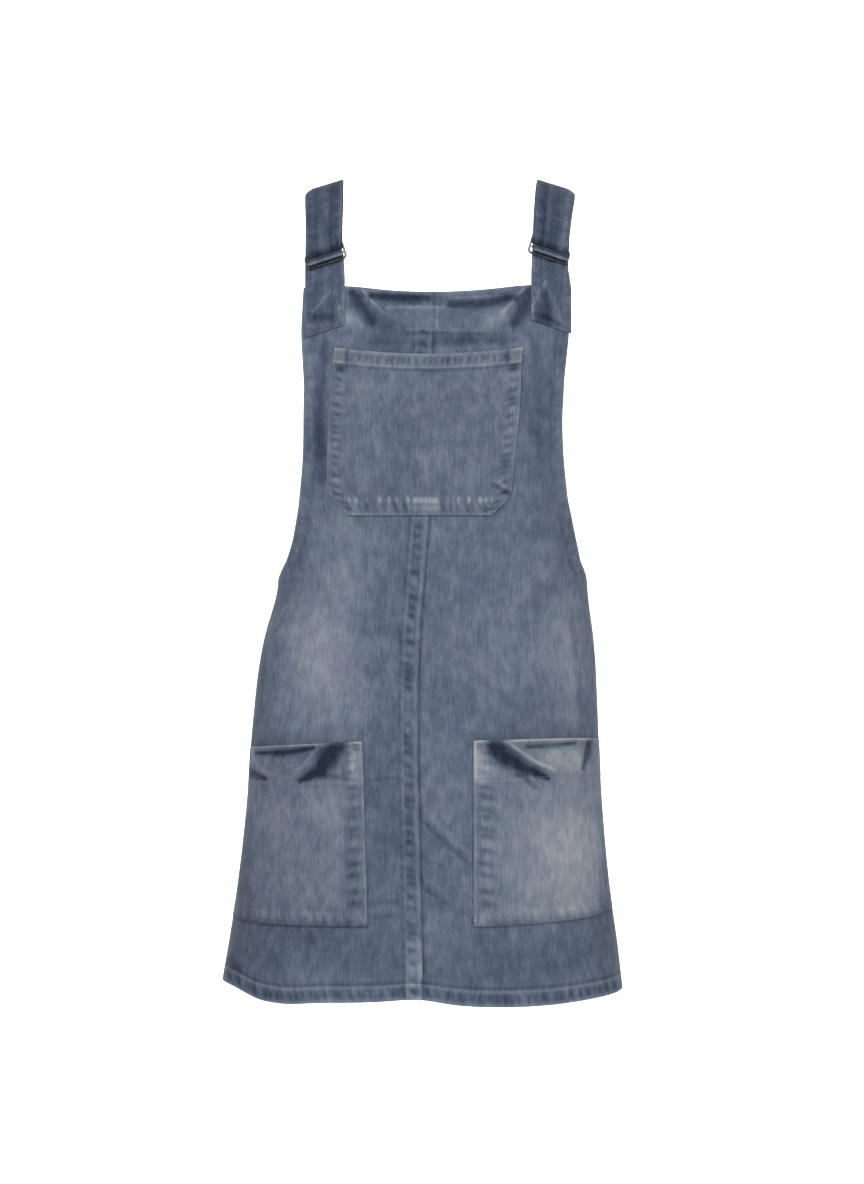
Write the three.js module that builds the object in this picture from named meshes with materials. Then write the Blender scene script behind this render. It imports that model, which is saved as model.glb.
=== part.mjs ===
// Denim dungaree dress: a bib front and an A-line skirt that hang from two adjustable shoulder straps.
// It keeps the hollow form that it has when worn. Every cloth piece is a thin wall.
// Millimetres, +Z up, front towards -Y. Left and right are as seen from the front.
// The origin lies midway between the straps, level with their undersides where they cross the shoulders.
import * as THREE from "three";

// Cloth
const WALL = 1.6; // one layer of washed denim with its backing folds pressed flat
const SEAM_GAP = 0.3; // between neighbouring pieces
const BAND_EXTRA = 0.8; // a turned pocket hem stands this much prouder
const HEM_EXTRA = 0.8; // a turned skirt hem is this much thicker inside
const FELL_WIDTH = 17; // the flat-felled seam down the centre front
const FELL_RAISE = 1.2;
const FELL_STEP = 1; // the slope at the felled seam's edge
const SECTION_POWER = 2.2; // 2 is an ellipse, and more is squarer
const POCKET_PUFF = 0.6; // a pocket's middle stands off the panel by this much more

// Straps
const STRAP_WALL = 1.6;
const STRAP_ROLL = 0.3; // fall over outward distance at the slider: the outer end lies lower
const CREST_ROLL = 0.22; // the same on the shoulder
const TAB_CLEAR = 0.45; // tab and strap ends stand off the panel faces
const BEND_RADIUS = 2.4; // middle of the cloth where it turns round a slider bar
const TAIL_LENGTH = 30; // strap end turned back behind the slider
const TAIL_START = 3.8; // from the run to the turned end, middle to middle, just above the slider
const TAIL_SPACING = 2.2; // the same further up, where the two layers are sewn together
const STRAP_HALF = 20.2;
const SLIDER_CLOTH_HALF = 19.4;

// Slider
const BAR = 1.8; // square bars
const BAR_RISE = 6.8; // from the middle bar up to the top bar
const BAR_DROP = 6.2; // from the middle bar down to the bottom bar
const SLIDER_SLOT_HALF = 20;
const SLIDER_END = 2.4; // width of the two upright ends

// The dress round the figure: how far each ring reaches to each side of the middle plane
const rings = [
  { z: -837, left: 229.5, right: 191.5, front: 139, back: 140 },
  { z: -790, left: 221.5, right: 186, front: 134, back: 136 },
  { z: -726, left: 211.5, right: 177, front: 129, back: 131 },
  { z: -643, left: 202, right: 169.5, front: 123, back: 127 },
  { z: -580, left: 198, right: 166.5, front: 118, back: 122 },
  { z: -517, left: 192, right: 164, front: 112, back: 112 },
  { z: -475, left: 185, right: 161, front: 108, back: 100 },
  { z: -412, left: 169, right: 154.5, front: 106, back: 88 },
  { z: -330, left: 172, right: 158, front: 112, back: 92 },
  { z: -250, left: 177, right: 163, front: 112, back: 96 },
  { z: -160, left: 183, right: 169, front: 96, back: 98 },
  { z: -100, left: 187, right: 173, front: 83, back: 96 },
];

// Armhole edges of the bib: x at each height, down to the armhole base on the side seam
const ARMHOLE_BASE = -415;
const BACK_EDGE_EXTRA = 4; // the back panel's armhole edges lie this much further out
const armholes = [
  { z: -415, left: -170, right: 155 },
  { z: -409, left: -168, right: 153.4 },
  { z: -401, left: -164.5, right: 150.3 },
  { z: -391, left: -159.5, right: 145.5 },
  { z: -370, left: -153, right: 140 },
  { z: -349, left: -148.8, right: 135.4 },
  { z: -328, left: -145, right: 131 },
  { z: -286, left: -140.8, right: 126 },
  { z: -250, left: -139.8, right: 125 },
  { z: -212, left: -139.8, right: 127 },
  { z: -160, left: -142.8, right: 132.4 },
  { z: -128, left: -141.5, right: 134 },
  { z: -100, left: -140, right: 133.5 },
];

// Lines down the front: the centre seam, and the pocket edges that bib and hip pockets share
const frontLines = [
  { z: -837, seam: -17.5, leftPocket: -70, rightPocket: 33 },
  { z: -760, seam: -18.7, leftPocket: -73, rightPocket: 34 },
  { z: -636, seam: -21.5, leftPocket: -77, rightPocket: 34 },
  { z: -568, seam: -22.5, leftPocket: -80, rightPocket: 34.5 },
  { z: -491, seam: -21.5, leftPocket: -91, rightPocket: 44 },
  { z: -414, seam: -16.5, leftPocket: -103, rightPocket: 56 },
  { z: -347, seam: -11.4, leftPocket: -111.5, rightPocket: 66 },
  { z: -300, seam: -9, leftPocket: -111, rightPocket: 70 },
  { z: -177, seam: -8, leftPocket: -106.4, rightPocket: 82.5 },
  { z: -100, seam: -7, leftPocket: -97, rightPocket: 87 },
];
const CHAMFER_LEFT = 20; // the bib pocket's cut lower corners
const CHAMFER_RIGHT = 12;

// Rows of the front from neckline to hem, and how many strips lie between a row and the next.
// Each height is given at the side edges, at the pocket edges and at the middle, where some rows sag.
const frontRows = [
  { name: "neckline", strips: 5, leftEdge: -111, leftPocket: -111, middle: -118, rightPocket: -110, rightEdge: -106 },
  { name: "neckBand", strips: 2, leftEdge: -157, leftPocket: -157, middle: -161, rightPocket: -156, rightEdge: -154 },
  { name: "bibTop", strips: 2, leftEdge: -177, leftPocket: -177, middle: -187, rightPocket: -177, rightEdge: -177 },
  { name: "bibBand", strips: 1, leftEdge: -197, leftPocket: -197, middle: -206, rightPocket: -197, rightEdge: -197 },
  { name: "bibBelow", strips: 5, leftEdge: -199, leftPocket: -199, middle: -208, rightPocket: -199, rightEdge: -199 },
  { name: "bibCorner", strips: 1, leftEdge: -321, leftPocket: -321, middle: -321, rightPocket: -321, rightEdge: -321 },
  { name: "bibBottom", strips: 2, leftEdge: -345, leftPocket: -345, middle: -345, rightPocket: -345, rightEdge: -345 },
  { name: "bend", strips: 3, leftEdge: -391, leftPocket: -391, middle: -391, rightPocket: -391, rightEdge: -391 },
  { name: "base", strips: 6, leftEdge: -415, leftPocket: -415, middle: -415, rightPocket: -415, rightEdge: -415 },
  { name: "hipTop", strips: 5, leftEdge: -588, leftPocket: -575.5, middle: -575, rightPocket: -574.5, rightEdge: -580.5 },
  { name: "hipBand", strips: 1, leftEdge: -628, leftPocket: -615.5, middle: -615, rightPocket: -614.5, rightEdge: -620.5 },
  { name: "hipBelow", strips: 5, leftEdge: -630, leftPocket: -617.5, middle: -617, rightPocket: -616.5, rightEdge: -622.5 },
  { name: "hipBottom", strips: 2, leftEdge: -763, leftPocket: -760, middle: -758, rightPocket: -760, rightEdge: -752.6 },
  { name: "hemTop", strips: 1, leftEdge: -813, leftPocket: -813, middle: -813, rightPocket: -813, rightEdge: -813 },
  { name: "hemTurn", strips: 1, leftEdge: -817, leftPocket: -817, middle: -817, rightPocket: -817, rightEdge: -817 },
  { name: "hem", strips: 0, leftEdge: -835, leftPocket: -837, middle: -837, rightPocket: -837, rightEdge: -837 },
];

// Rows of the back from its top edge to the hem
const backRows = [
  { name: "top", strips: 7, z: -132 },
  { name: "bend", strips: 3, z: -391 },
  { name: "base", strips: 9, z: -415 },
  { name: "hemTop", strips: 1, z: -813 },
  { name: "hemTurn", strips: 1, z: -817 },
  { name: "hem", strips: 0, z: -837 },
];
const BACK_COLUMNS = 26;

// The front hem rides up at the stiff centre seam and drops a little on each side of it
const hemWaves = [
  { x: -125, spread: 60, rise: -2 },
  { x: -22, spread: 30, rise: 5 },
  { x: 75, spread: 75, rise: -4 },
];
const HEM_WAVE_TOP = -740;

// Soft flutes in the back of the skirt: outward at the hem, gone by the waist
const backFlutes = [
  { x: -120, spread: 26, height: 4 },
  { x: -38, spread: 22, height: -3.5 },
  { x: 44, spread: 28, height: 4.5 },
  { x: 118, spread: 20, height: -3 },
];
const FLUTE_TOP = -480;

// Folds stand out from the cloth, or in where the height is negative, along a line from one point to another.
// The slack neckline hangs in a shallow cowl between the straps.
const bibFolds = [
  { name: "rim", x1: -90, z1: -109, x2: 78, z2: -107, spread: 9, height: 3 },
  { name: "valley", x1: -58, z1: -128, x2: 58, z2: -126, spread: 8, height: -6 },
  { name: "bulge", x1: -54, z1: -146, x2: 60, z2: -144, spread: 11, height: 7 },
  { name: "left ridge", x1: -86, z1: -116, x2: -58, z2: -141, spread: 9, height: 4 },
  { name: "left wedge", x1: -86, z1: -136, x2: -66, z2: -158, spread: 9, height: -5 },
  { name: "right ridge", x1: 82, z1: -113, x2: 64, z2: -141, spread: 9, height: 4 },
  { name: "right wedge", x1: 84, z1: -134, x2: 76, z2: -157, spread: 9, height: -5 },
];
const FOLD_EDGE_LEFT = -98; // the folds end at the tabs
const FOLD_EDGE_RIGHT = 88;
const FOLD_EDGE_FADE = 14;

// The hip pockets' mouths are slack too: a taut rim, a fold in under it, and a bulge below
const hipMouthFolds = [
  { name: "left rim", x1: -190, z1: -585, x2: -112, z2: -577, spread: 7, height: 3 },
  { name: "left bulge", x1: -176, z1: -608, x2: -146, z2: -612, spread: 10, height: 6.5 },
  { name: "left ridge", x1: -112, z1: -579, x2: -142, z2: -612, spread: 8, height: 4.5 },
  { name: "right rim", x1: 78, z1: -577, x2: 156, z2: -577, spread: 7, height: 3 },
  { name: "right bulge", x1: 112, z1: -606, x2: 134, z2: -612, spread: 10, height: 6.5 },
  { name: "right ridge", x1: 66, z1: -577, x2: 108, z2: -606, spread: 8, height: 4.5 },
];

// Straps and tabs, one row for each side. Across is +1 where outward is +X.
const straps = [
  {
    name: "left",
    across: -1,
    slider: { x: -117.5, y: -69, z: -81, yaw: 0.24 },
    crestX: -121,
    backX: -126.5,
    tabX: -118.5,
    tabBottom: -157,
  },
  {
    name: "right",
    across: 1,
    slider: { x: 111.5, y: -69, z: -74, yaw: 0.24 },
    crestX: 121.5,
    backX: 122,
    tabX: 111.5,
    tabBottom: -152,
  },
];

// Side view of a strap over the shoulder: share of the way from slider to crest, then from crest to the back
const strapFront = [
  { y: -66, z: -54, turn: 0.2 },
  { y: -59, z: -38, turn: 0.4 },
  { y: -49, z: -24, turn: 0.6 },
  { y: -36, z: -12, turn: 0.8 },
  { y: -19, z: -3, turn: 0.95 },
];
const strapBack = [
  { y: 0, z: 0.8, turn: 0 },
  { y: 20, z: -4, turn: 0.15 },
  { y: 38, z: -15, turn: 0.3 },
  { y: 54, z: -33, turn: 0.5 },
  { y: 66, z: -56, turn: 0.65 },
  { y: 74, z: -82, turn: 0.8 },
  { y: 79, z: -108, turn: 0.92 },
];
const BACK_LAP = 26; // the strap's end on the back panel
const BACK_END_HALF = 19;

const denim = (name, color) => new THREE.MeshStandardMaterial({ name, color, roughness: 0.92, metalness: 0 });
const PANEL_COLOUR = 0x606c80;
const POCKET_COLOUR = 0x687386;
const STRAP_COLOUR = 0x4d586b;
const METAL_COLOUR = 0x4a4842;

// Smooth value of one table column at a height, with the rows in order of height
function read(table, z, column) {
  const rows = [...table].sort((a, b) => a.z - b.z);
  const last = rows.length - 1;
  if (z <= rows[0].z) return rows[0][column];
  if (z >= rows[last].z) return rows[last][column];
  const i = rows.findIndex((row) => row.z > z) - 1;
  const slope = (k) => {
    const below = rows[Math.max(k - 1, 0)];
    const above = rows[Math.min(k + 1, last)];
    return (above[column] - below[column]) / (above.z - below.z);
  };
  const span = rows[i + 1].z - rows[i].z;
  const t = (z - rows[i].z) / span;
  const start = rows[i][column] * (1 + 2 * t) * (1 - t) ** 2;
  const end = rows[i + 1][column] * t * t * (3 - 2 * t);
  const leaving = slope(i) * span * t * (1 - t) ** 2;
  const arriving = slope(i + 1) * span * t * t * (t - 1);
  return start + end + leaving + arriving;
}

const mix = (a, b, t) => a + (b - a) * t;
const clamp01 = (t) => Math.min(Math.max(t, 0), 1);
const smooth = (t) => clamp01(t) ** 2 * (3 - 2 * clamp01(t));

// The superellipse section at a height
function sectionAt(z) {
  const left = read(rings, z, "left");
  const right = read(rings, z, "right");
  return {
    centre: (right - left) / 2,
    half: (right + left) / 2,
    front: read(rings, z, "front"),
    back: read(rings, z, "back"),
  };
}

// Angle round the section at which it reaches x: 0 at the right side seam, pi at the left one
function angleOf(x, z) {
  const section = sectionAt(z);
  const share = THREE.MathUtils.clamp((x - section.centre) / section.half, -1, 1);
  return Math.acos(Math.sign(share) * Math.abs(share) ** (SECTION_POWER / 2));
}

// Point and outward normal of the dress's outer face at an angle and height. Side is -1 in front, 1 behind.
function bodyPoint(angle, z, side) {
  const section = sectionAt(z);
  const depth = side < 0 ? section.front : section.back;
  const u = Math.sign(Math.cos(angle)) * Math.abs(Math.cos(angle)) ** (2 / SECTION_POWER);
  const v = Math.abs(Math.sin(angle)) ** (2 / SECTION_POWER);
  const slopeX = (Math.sign(u) * Math.abs(u) ** (SECTION_POWER - 1)) / section.half;
  const slopeY = (side * v ** (SECTION_POWER - 1)) / depth;
  return {
    at: new THREE.Vector3(section.centre + section.half * u, side * depth * v, z),
    out: new THREE.Vector3(slopeX, slopeY, 0).normalize(),
  };
}

// A point moved out along its normal
const moved = (point, distance) => point.at.clone().addScaledVector(point.out, distance);

// Height of a set of folds at a place on the front
function foldHeight(folds, x, z) {
  return folds.reduce((sum, fold) => {
    const dx = fold.x2 - fold.x1;
    const dz = fold.z2 - fold.z1;
    const t = clamp01(((x - fold.x1) * dx + (z - fold.z1) * dz) / (dx * dx + dz * dz));
    const away = Math.hypot(x - fold.x1 - t * dx, z - fold.z1 - t * dz);
    return sum + fold.height * Math.exp(-((away / fold.spread) ** 2));
  }, 0);
}

// A closed wall between an outer and an inner grid of points. Dropped is a list of triangles to leave out,
// each as row, column and half: 0 is a cell's lower left, 1 its upper right, 2 its lower right, 3 its upper left.
function wallBetween(outer, inner, dropped = []) {
  const rows = outer.length;
  const columns = outer[0].length;
  const front = [];
  const isDropped = (i, j, half) => dropped.some((d) => d.row === i && d.column === j && d.half === half);
  for (let i = 0; i < rows - 1; i += 1) {
    for (let j = 0; j < columns - 1; j += 1) {
      const a = i * columns + j;
      const b = a + 1;
      const c = a + columns;
      const d = c + 1;
      const mirrored = isDropped(i, j, 2) || (!isDropped(i, j, 0) && j >= columns / 2);
      if (mirrored) {
        if (!isDropped(i, j, 3)) front.push([a, c, b]);
        if (!isDropped(i, j, 2)) front.push([b, c, d]);
      } else {
        if (!isDropped(i, j, 0)) front.push([a, c, d]);
        if (!isDropped(i, j, 1)) front.push([a, d, b]);
      }
    }
  }
  const offset = rows * columns;
  const edges = new Set(front.flatMap(([a, b, c]) => [`${a} ${b}`, `${b} ${c}`, `${c} ${a}`]));
  const faces = [...front, ...front.map(([a, b, c]) => [a + offset, c + offset, b + offset])];
  for (const edge of edges) {
    const [a, b] = edge.split(" ").map(Number);
    if (edges.has(`${b} ${a}`)) continue;
    faces.push([a, a + offset, b + offset], [a, b + offset, b]);
  }
  const points = [...outer.flat(), ...inner.flat()];
  const used = [...new Set(faces.flat())];
  const place = new Map(used.map((point, index) => [point, index]));
  const geometry = new THREE.BufferGeometry();
  geometry.setAttribute("position", new THREE.Float32BufferAttribute(used.flatMap((p) => points[p].toArray()), 3));
  geometry.setIndex(facingOut(faces, points).flatMap((face) => face.map((point) => place.get(point))));
  geometry.computeVertexNormals();
  return geometry;
}

// The faces in the order that makes the enclosed volume positive
function facingOut(faces, points) {
  const volume = faces.reduce((sum, [a, b, c]) => {
    const normal = new THREE.Vector3().crossVectors(points[b], points[c]);
    return sum + points[a].dot(normal);
  }, 0);
  return volume > 0 ? faces : faces.map(([a, b, c]) => [a, c, b]);
}

// A wall of even thickness on both sides of a grid of points
function wallOn(grid, thickness) {
  const rows = grid.length;
  const columns = grid[0].length;
  const normals = grid.map((row, i) =>
    row.map((point, j) => {
      const along = new THREE.Vector3().subVectors(grid[Math.min(i + 1, rows - 1)][j], grid[Math.max(i - 1, 0)][j]);
      const across = new THREE.Vector3().subVectors(row[Math.min(j + 1, columns - 1)], row[Math.max(j - 1, 0)]);
      return along.cross(across).normalize();
    }),
  );
  const side = (distance) => grid.map((row, i) => row.map((p, j) => p.clone().addScaledVector(normals[i][j], distance)));
  return wallBetween(side(thickness / 2), side(-thickness / 2));
}

// Height of a front row at a station: -2 and 2 are the side edges, -1 and 1 the pocket edges, 0 the seam
function rowHeight(row, station) {
  if (station <= -1) return mix(row.leftEdge, row.leftPocket, station + 2);
  if (station >= 1) return mix(row.rightPocket, row.rightEdge, station - 1);
  const level = mix(row.leftPocket, row.rightPocket, (station + 1) / 2);
  return level + (row.middle - (row.leftPocket + row.rightPocket) / 2) * (1 - station ** 2);
}

// Rows with the strips between them worked out, and the index of each named row
function expandRows(rows) {
  const all = [];
  const index = {};
  rows.forEach((row, k) => {
    index[row.name] = all.length;
    all.push(row);
    for (let s = 1; s < row.strips; s += 1) {
      const between = { name: `${row.name} ${s}` };
      for (const key of Object.keys(row).filter((name) => typeof row[name] === "number")) {
        between[key] = mix(row[key], rows[k + 1][key], s / row.strips);
      }
      all.push(between);
    }
  });
  return { all, index };
}

const front = expandRows(frontRows);
const back = expandRows(backRows);

// Lines down the front panels. Each is the start of some strips up to the next line.
const edgeX = (side) => (z) => (z <= ARMHOLE_BASE ? side * 1000 : read(armholes, z, side < 0 ? "left" : "right"));
const lineX = (column, offset) => (z) => read(frontLines, z, column) + offset;
const leftLines = [
  { name: "edge", station: -2, strips: 9, x: edgeX(-1) },
  { name: "pocket", station: -1, strips: 1, x: lineX("leftPocket", 0) },
  { name: "chamfer", station: -0.8, strips: 5, x: lineX("leftPocket", CHAMFER_LEFT) },
  { name: "fellFoot", station: -0.2, strips: 1, x: lineX("seam", -FELL_WIDTH - FELL_STEP) },
  { name: "fell", station: -0.19, strips: 1, x: lineX("seam", -FELL_WIDTH) },
  { name: "seam", station: 0, strips: 0, x: lineX("seam", -SEAM_GAP / 2) },
];
const rightLines = [
  { name: "seam", station: 0, strips: 6, x: lineX("seam", SEAM_GAP / 2) },
  { name: "chamfer", station: 0.85, strips: 1, x: lineX("rightPocket", -CHAMFER_RIGHT) },
  { name: "pocket", station: 1, strips: 9, x: lineX("rightPocket", 0) },
  { name: "edge", station: 2, strips: 0, x: edgeX(1) },
];

// How far the bib's folds are let through at an x
function foldShare(x) {
  return smooth((x - FOLD_EDGE_LEFT) / FOLD_EDGE_FADE) * smooth((FOLD_EDGE_RIGHT - x) / FOLD_EDGE_FADE);
}

// One grid of a front panel's outer face, with each point's normal, and the column of each named line
function frontGrid(lines) {
  const column = {};
  const grid = front.all.map((row) => {
    const heights = lines.map((line) => rowHeight(row, line.station));
    const angles = lines.map((line, k) => angleOf(line.x(heights[k]), heights[k]));
    const points = [];
    lines.forEach((line, k) => {
      column[line.name] = points.length;
      for (let s = 0; s < Math.max(line.strips, 1); s += 1) {
        const next = Math.min(k + 1, lines.length - 1);
        const t = line.strips ? s / line.strips : 0;
        const station = mix(line.station, lines[next].station, t);
        const level = rowHeight(row, station);
        points.push(frontPoint(mix(angles[k], angles[next], t), level, line.name === "fell" || line.station === 0));
      }
    });
    return points;
  });
  return { grid, column };
}

// One point of the front: its place before folds, its normal, and how far folds and the felled seam lift it
function frontPoint(angle, level, onFell) {
  const flat = bodyPoint(angle, level, -1);
  const wave = hemWaves.reduce((sum, w) => sum + w.rise * Math.exp(-(((flat.at.x - w.x) / w.spread) ** 2)), 0);
  const z = level + wave * smooth((HEM_WAVE_TOP - level) / (HEM_WAVE_TOP + 837));
  const point = bodyPoint(angle, z, -1);
  const atSide = Math.sin(angle) < 1e-6;
  if (atSide) point.at.y = -SEAM_GAP / 2;
  point.lift = foldHeight(bibFolds, point.at.x, z) * foldShare(point.at.x);
  point.raise = onFell ? FELL_RAISE : 0;
  return point;
}

const leftFront = frontGrid(leftLines);
const rightFront = frontGrid(rightLines);
for (const row of rightFront.grid) row[0].raise = 0;

const hemThickness = (index, i) => WALL + (i >= index.hemTurn ? HEM_EXTRA : 0);
const group = new THREE.Group();
group.name = "denim_dungaree_dress";

function addPiece(name, geometry, material) {
  const mesh = new THREE.Mesh(geometry, material);
  mesh.name = name;
  group.add(mesh);
  return mesh;
}

// Front panels, which meet at the felled centre seam
function frontPanel(grid) {
  const outer = grid.map((row) => row.map((point) => moved(point, point.lift + point.raise)));
  const inner = grid.map((row, i) => row.map((point) => moved(point, point.lift - hemThickness(front.index, i))));
  return wallBetween(outer, inner);
}
addPiece("front_panel_left", frontPanel(leftFront.grid), denim("front panel", PANEL_COLOUR));
addPiece("front_panel_right", frontPanel(rightFront.grid), denim("front panel", PANEL_COLOUR));

// Back panel in one piece, open at the top and cut out at the armholes
function backPanel() {
  const grid = back.all.map((row) => {
    const open = row.z > ARMHOLE_BASE;
    const start = open ? angleOf(read(armholes, row.z, "left") - BACK_EDGE_EXTRA, row.z) : Math.PI;
    const end = open ? angleOf(read(armholes, row.z, "right") + BACK_EDGE_EXTRA, row.z) : 0;
    return Array.from({ length: BACK_COLUMNS + 1 }, (_, j) => {
      const point = bodyPoint(mix(start, end, j / BACK_COLUMNS), row.z, 1);
      point.at.y = Math.max(point.at.y, SEAM_GAP / 2);
      const flute = backFlutes.reduce((sum, f) => sum + f.height * Math.exp(-(((point.at.x - f.x) / f.spread) ** 2)), 0);
      point.lift = flute * smooth((FLUTE_TOP - row.z) / (FLUTE_TOP + 837));
      return point;
    });
  });
  const outer = grid.map((row) => row.map((point) => moved(point, point.lift)));
  const inner = grid.map((row, i) => row.map((point) => moved(point, point.lift - hemThickness(back.index, i))));
  return wallBetween(outer, inner);
}
addPiece("back_panel", backPanel(), denim("back panel", PANEL_COLOUR));

// A pocket on part of the front's own grid, moved out. Puff is its extra height at each point.
function pocket(rows, puff, band, dropped) {
  const lift = (point, i, j) => point.lift + point.raise + SEAM_GAP + puff(point, i, j);
  const thick = (i) => WALL + (i <= band ? BAND_EXTRA : 0);
  const inner = rows.map((row, i) => row.map((point, j) => moved(point, lift(point, i, j))));
  const outer = rows.map((row, i) => row.map((point, j) => moved(point, lift(point, i, j) + thick(i))));
  return wallBetween(outer, inner, dropped);
}

// Bib pocket across the centre seam, with cut lower corners
function bibPocket() {
  const { bibTop, bibBand, bibBottom } = front.index;
  const rows = [];
  for (let i = bibTop; i <= bibBottom; i += 1) {
    const left = leftFront.grid[i].slice(leftFront.column.pocket);
    const right = rightFront.grid[i].slice(1, rightFront.column.pocket + 1);
    rows.push([...left, ...right]);
  }
  const last = rows.length - 1;
  const across = rows[0].length - 1;
  const puff = (point, i, j) => POCKET_PUFF * Math.sin((Math.PI * i) / last) * Math.sin((Math.PI * j) / across);
  const dropped = [
    { row: last - 1, column: 0, half: 0 },
    { row: last - 1, column: across - 1, half: 2 },
  ];
  return pocket(rows, puff, bibBand - bibTop, dropped);
}
addPiece("bib_pocket", bibPocket(), denim("pocket", POCKET_COLOUR));

// Hip pockets, each from its inner edge round to the side seam
function hipPocket(side) {
  const { hipTop, hipBand, hipBottom } = front.index;
  const source = side < 0 ? leftFront : rightFront;
  const from = side < 0 ? 0 : source.column.pocket;
  const to = side < 0 ? source.column.pocket : source.column.edge;
  const rows = source.grid.slice(hipTop, hipBottom + 1).map((row) => row.slice(from, to + 1));
  const last = rows.length - 1;
  const across = to - from;
  const puff = (point, i, j) => {
    const inside = Math.sin((Math.PI * j) / across);
    const held = Math.min(1, 4 * (j / across) * (1 - j / across));
    const body = POCKET_PUFF * Math.sin((Math.PI * i) / last) * inside;
    return body + foldHeight(hipMouthFolds, point.at.x, point.at.z) * held;
  };
  return pocket(rows, puff, hipBand - hipTop, []);
}
addPiece("hip_pocket_left", hipPocket(-1), denim("pocket", POCKET_COLOUR));
addPiece("hip_pocket_right", hipPocket(1), denim("pocket", POCKET_COLOUR));

// The directions of a slider: along its bars outward, up its face, and out of its face
function sliderAxes(strap) {
  const along = new THREE.Vector3(strap.across, strap.slider.yaw, -STRAP_ROLL).normalize();
  const out = new THREE.Vector3(strap.slider.yaw * strap.across, -1, 0).normalize();
  const up = new THREE.Vector3().crossVectors(along, out).multiplyScalar(-strap.across).normalize();
  const face = new THREE.Vector3().crossVectors(along, up).multiplyScalar(strap.across).normalize();
  return { along, up, face, centre: new THREE.Vector3(strap.slider.x, strap.slider.y, strap.slider.z) };
}

// A place beside the slider: so far up its face and so far out of it
const besideSlider = (axes, up, out) =>
  axes.centre.clone().addScaledVector(axes.up, up).addScaledVector(axes.face, out);

// Points of cloth turning round a bar, from one angle to another. At 0 it is above the bar, at 90 in front.
function turnRound(axes, barUp, fromDegrees, toDegrees, steps) {
  return Array.from({ length: steps + 1 }, (_, k) => {
    const turn = THREE.MathUtils.degToRad(mix(fromDegrees, toDegrees, k / steps));
    return besideSlider(axes, barUp + BEND_RADIUS * Math.cos(turn), BEND_RADIUS * Math.sin(turn));
  });
}

// Points across a strip of cloth, from its inner to its outer edge
function acrossStrip(centre, along, half) {
  return [-1, -0.5, 0, 0.5, 1].map((share) => centre.clone().addScaledVector(along, share * half));
}

// Points across a strip that lies on a panel, moved out from the panel's face
function acrossPanel(strap, x, z, half, side, roll) {
  return [-1, -0.5, 0, 0.5, 1].map((share) => {
    const outward = share * half;
    const level = z - roll * outward;
    const point = bodyPoint(angleOf(x + strap.across * outward, level), level, side);
    return moved(point, TAB_CLEAR + STRAP_WALL / 2);
  });
}

// A shoulder strap: up from the slider, over the shoulder and down to the back panel
function shoulderStrap(strap) {
  const axes = sliderAxes(strap);
  const { slider } = strap;
  const crest = new THREE.Vector3(strap.across, 0, -CREST_ROLL).normalize();
  const rear = new THREE.Vector3(strap.across, -slider.yaw, 0).normalize();
  const overBar = besideSlider(axes, BAR_RISE + 5, BEND_RADIUS);
  const rising = strapFront.map((row) => ({
    centre: new THREE.Vector3(mix(overBar.x, strap.crestX, row.turn), row.y, row.z),
    along: axes.along.clone().lerp(crest, row.turn).normalize(),
    half: mix(SLIDER_CLOTH_HALF, STRAP_HALF, row.turn),
  }));
  const falling = strapBack.map((row) => ({
    centre: new THREE.Vector3(mix(strap.crestX, strap.backX, row.turn), row.y, row.z),
    along: crest.clone().lerp(rear, row.turn).normalize(),
    half: mix(STRAP_HALF, BACK_END_HALF, row.turn),
  }));
  const nearSlider = (point) => ({ centre: point, along: axes.along, half: SLIDER_CLOTH_HALF });
  const round = turnRound(axes, BAR_RISE, 90, 270, 6);
  const run = [nearSlider(overBar), ...rising];
  const tail = tailBehind(run);
  const rows = [...tail.reverse(), ...round.reverse().map(nearSlider), ...run, ...falling];
  const strips = rows.map((row) => acrossStrip(row.centre, row.along, row.half));
  const lapTop = backRows[0].z;
  for (let k = 0; k <= 3; k += 1) {
    const z = lapTop + 6 - (BACK_LAP + 6) * (k / 3);
    strips.push(acrossPanel(strap, strap.backX, z, BACK_END_HALF, 1, 0));
  }
  return wallOn(strips, STRAP_WALL);
}

// The strap's end behind its own run: the same points moved in, up to the tail's length
function tailBehind(run) {
  const rows = [];
  let length = 0;
  for (let k = 0; k < run.length - 1; k += 1) {
    const along = run[k].along;
    const before = run[Math.max(k - 1, 0)].centre;
    const path = new THREE.Vector3().subVectors(run[k + 1].centre, before).normalize();
    const inward = new THREE.Vector3().crossVectors(path, along).normalize();
    if (inward.y < 0) inward.negate();
    const spacing = k === 0 ? TAIL_START : TAIL_SPACING;
    rows.push({ centre: run[k].centre.clone().addScaledVector(inward, spacing), along, half: run[k].half });
    length += run[k].centre.distanceTo(run[k + 1].centre);
    if (length > TAIL_LENGTH) break;
  }
  return rows;
}

// A tab: sewn on the bib's corner, up behind the slider's bottom bar and round its middle bar
function strapTab(strap) {
  const axes = sliderAxes(strap);
  const strips = [];
  const top = strap.name === "left" ? -108 : -105;
  for (let k = 0; k <= 4; k += 1) {
    const z = mix(strap.tabBottom, top, k / 4);
    strips.push(acrossPanel(strap, strap.tabX, z, STRAP_HALF, -1, STRAP_ROLL));
  }
  const cloth = (point) => acrossStrip(point, axes.along, SLIDER_CLOTH_HALF);
  strips.push(cloth(besideSlider(axes, -BAR_DROP - 2, -BEND_RADIUS)));
  strips.push(cloth(besideSlider(axes, -BAR_DROP / 2, -BEND_RADIUS)));
  strips.push(...turnRound(axes, 0, -90, 165, 8).map(cloth));
  return wallOn(strips, STRAP_WALL);
}

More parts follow.
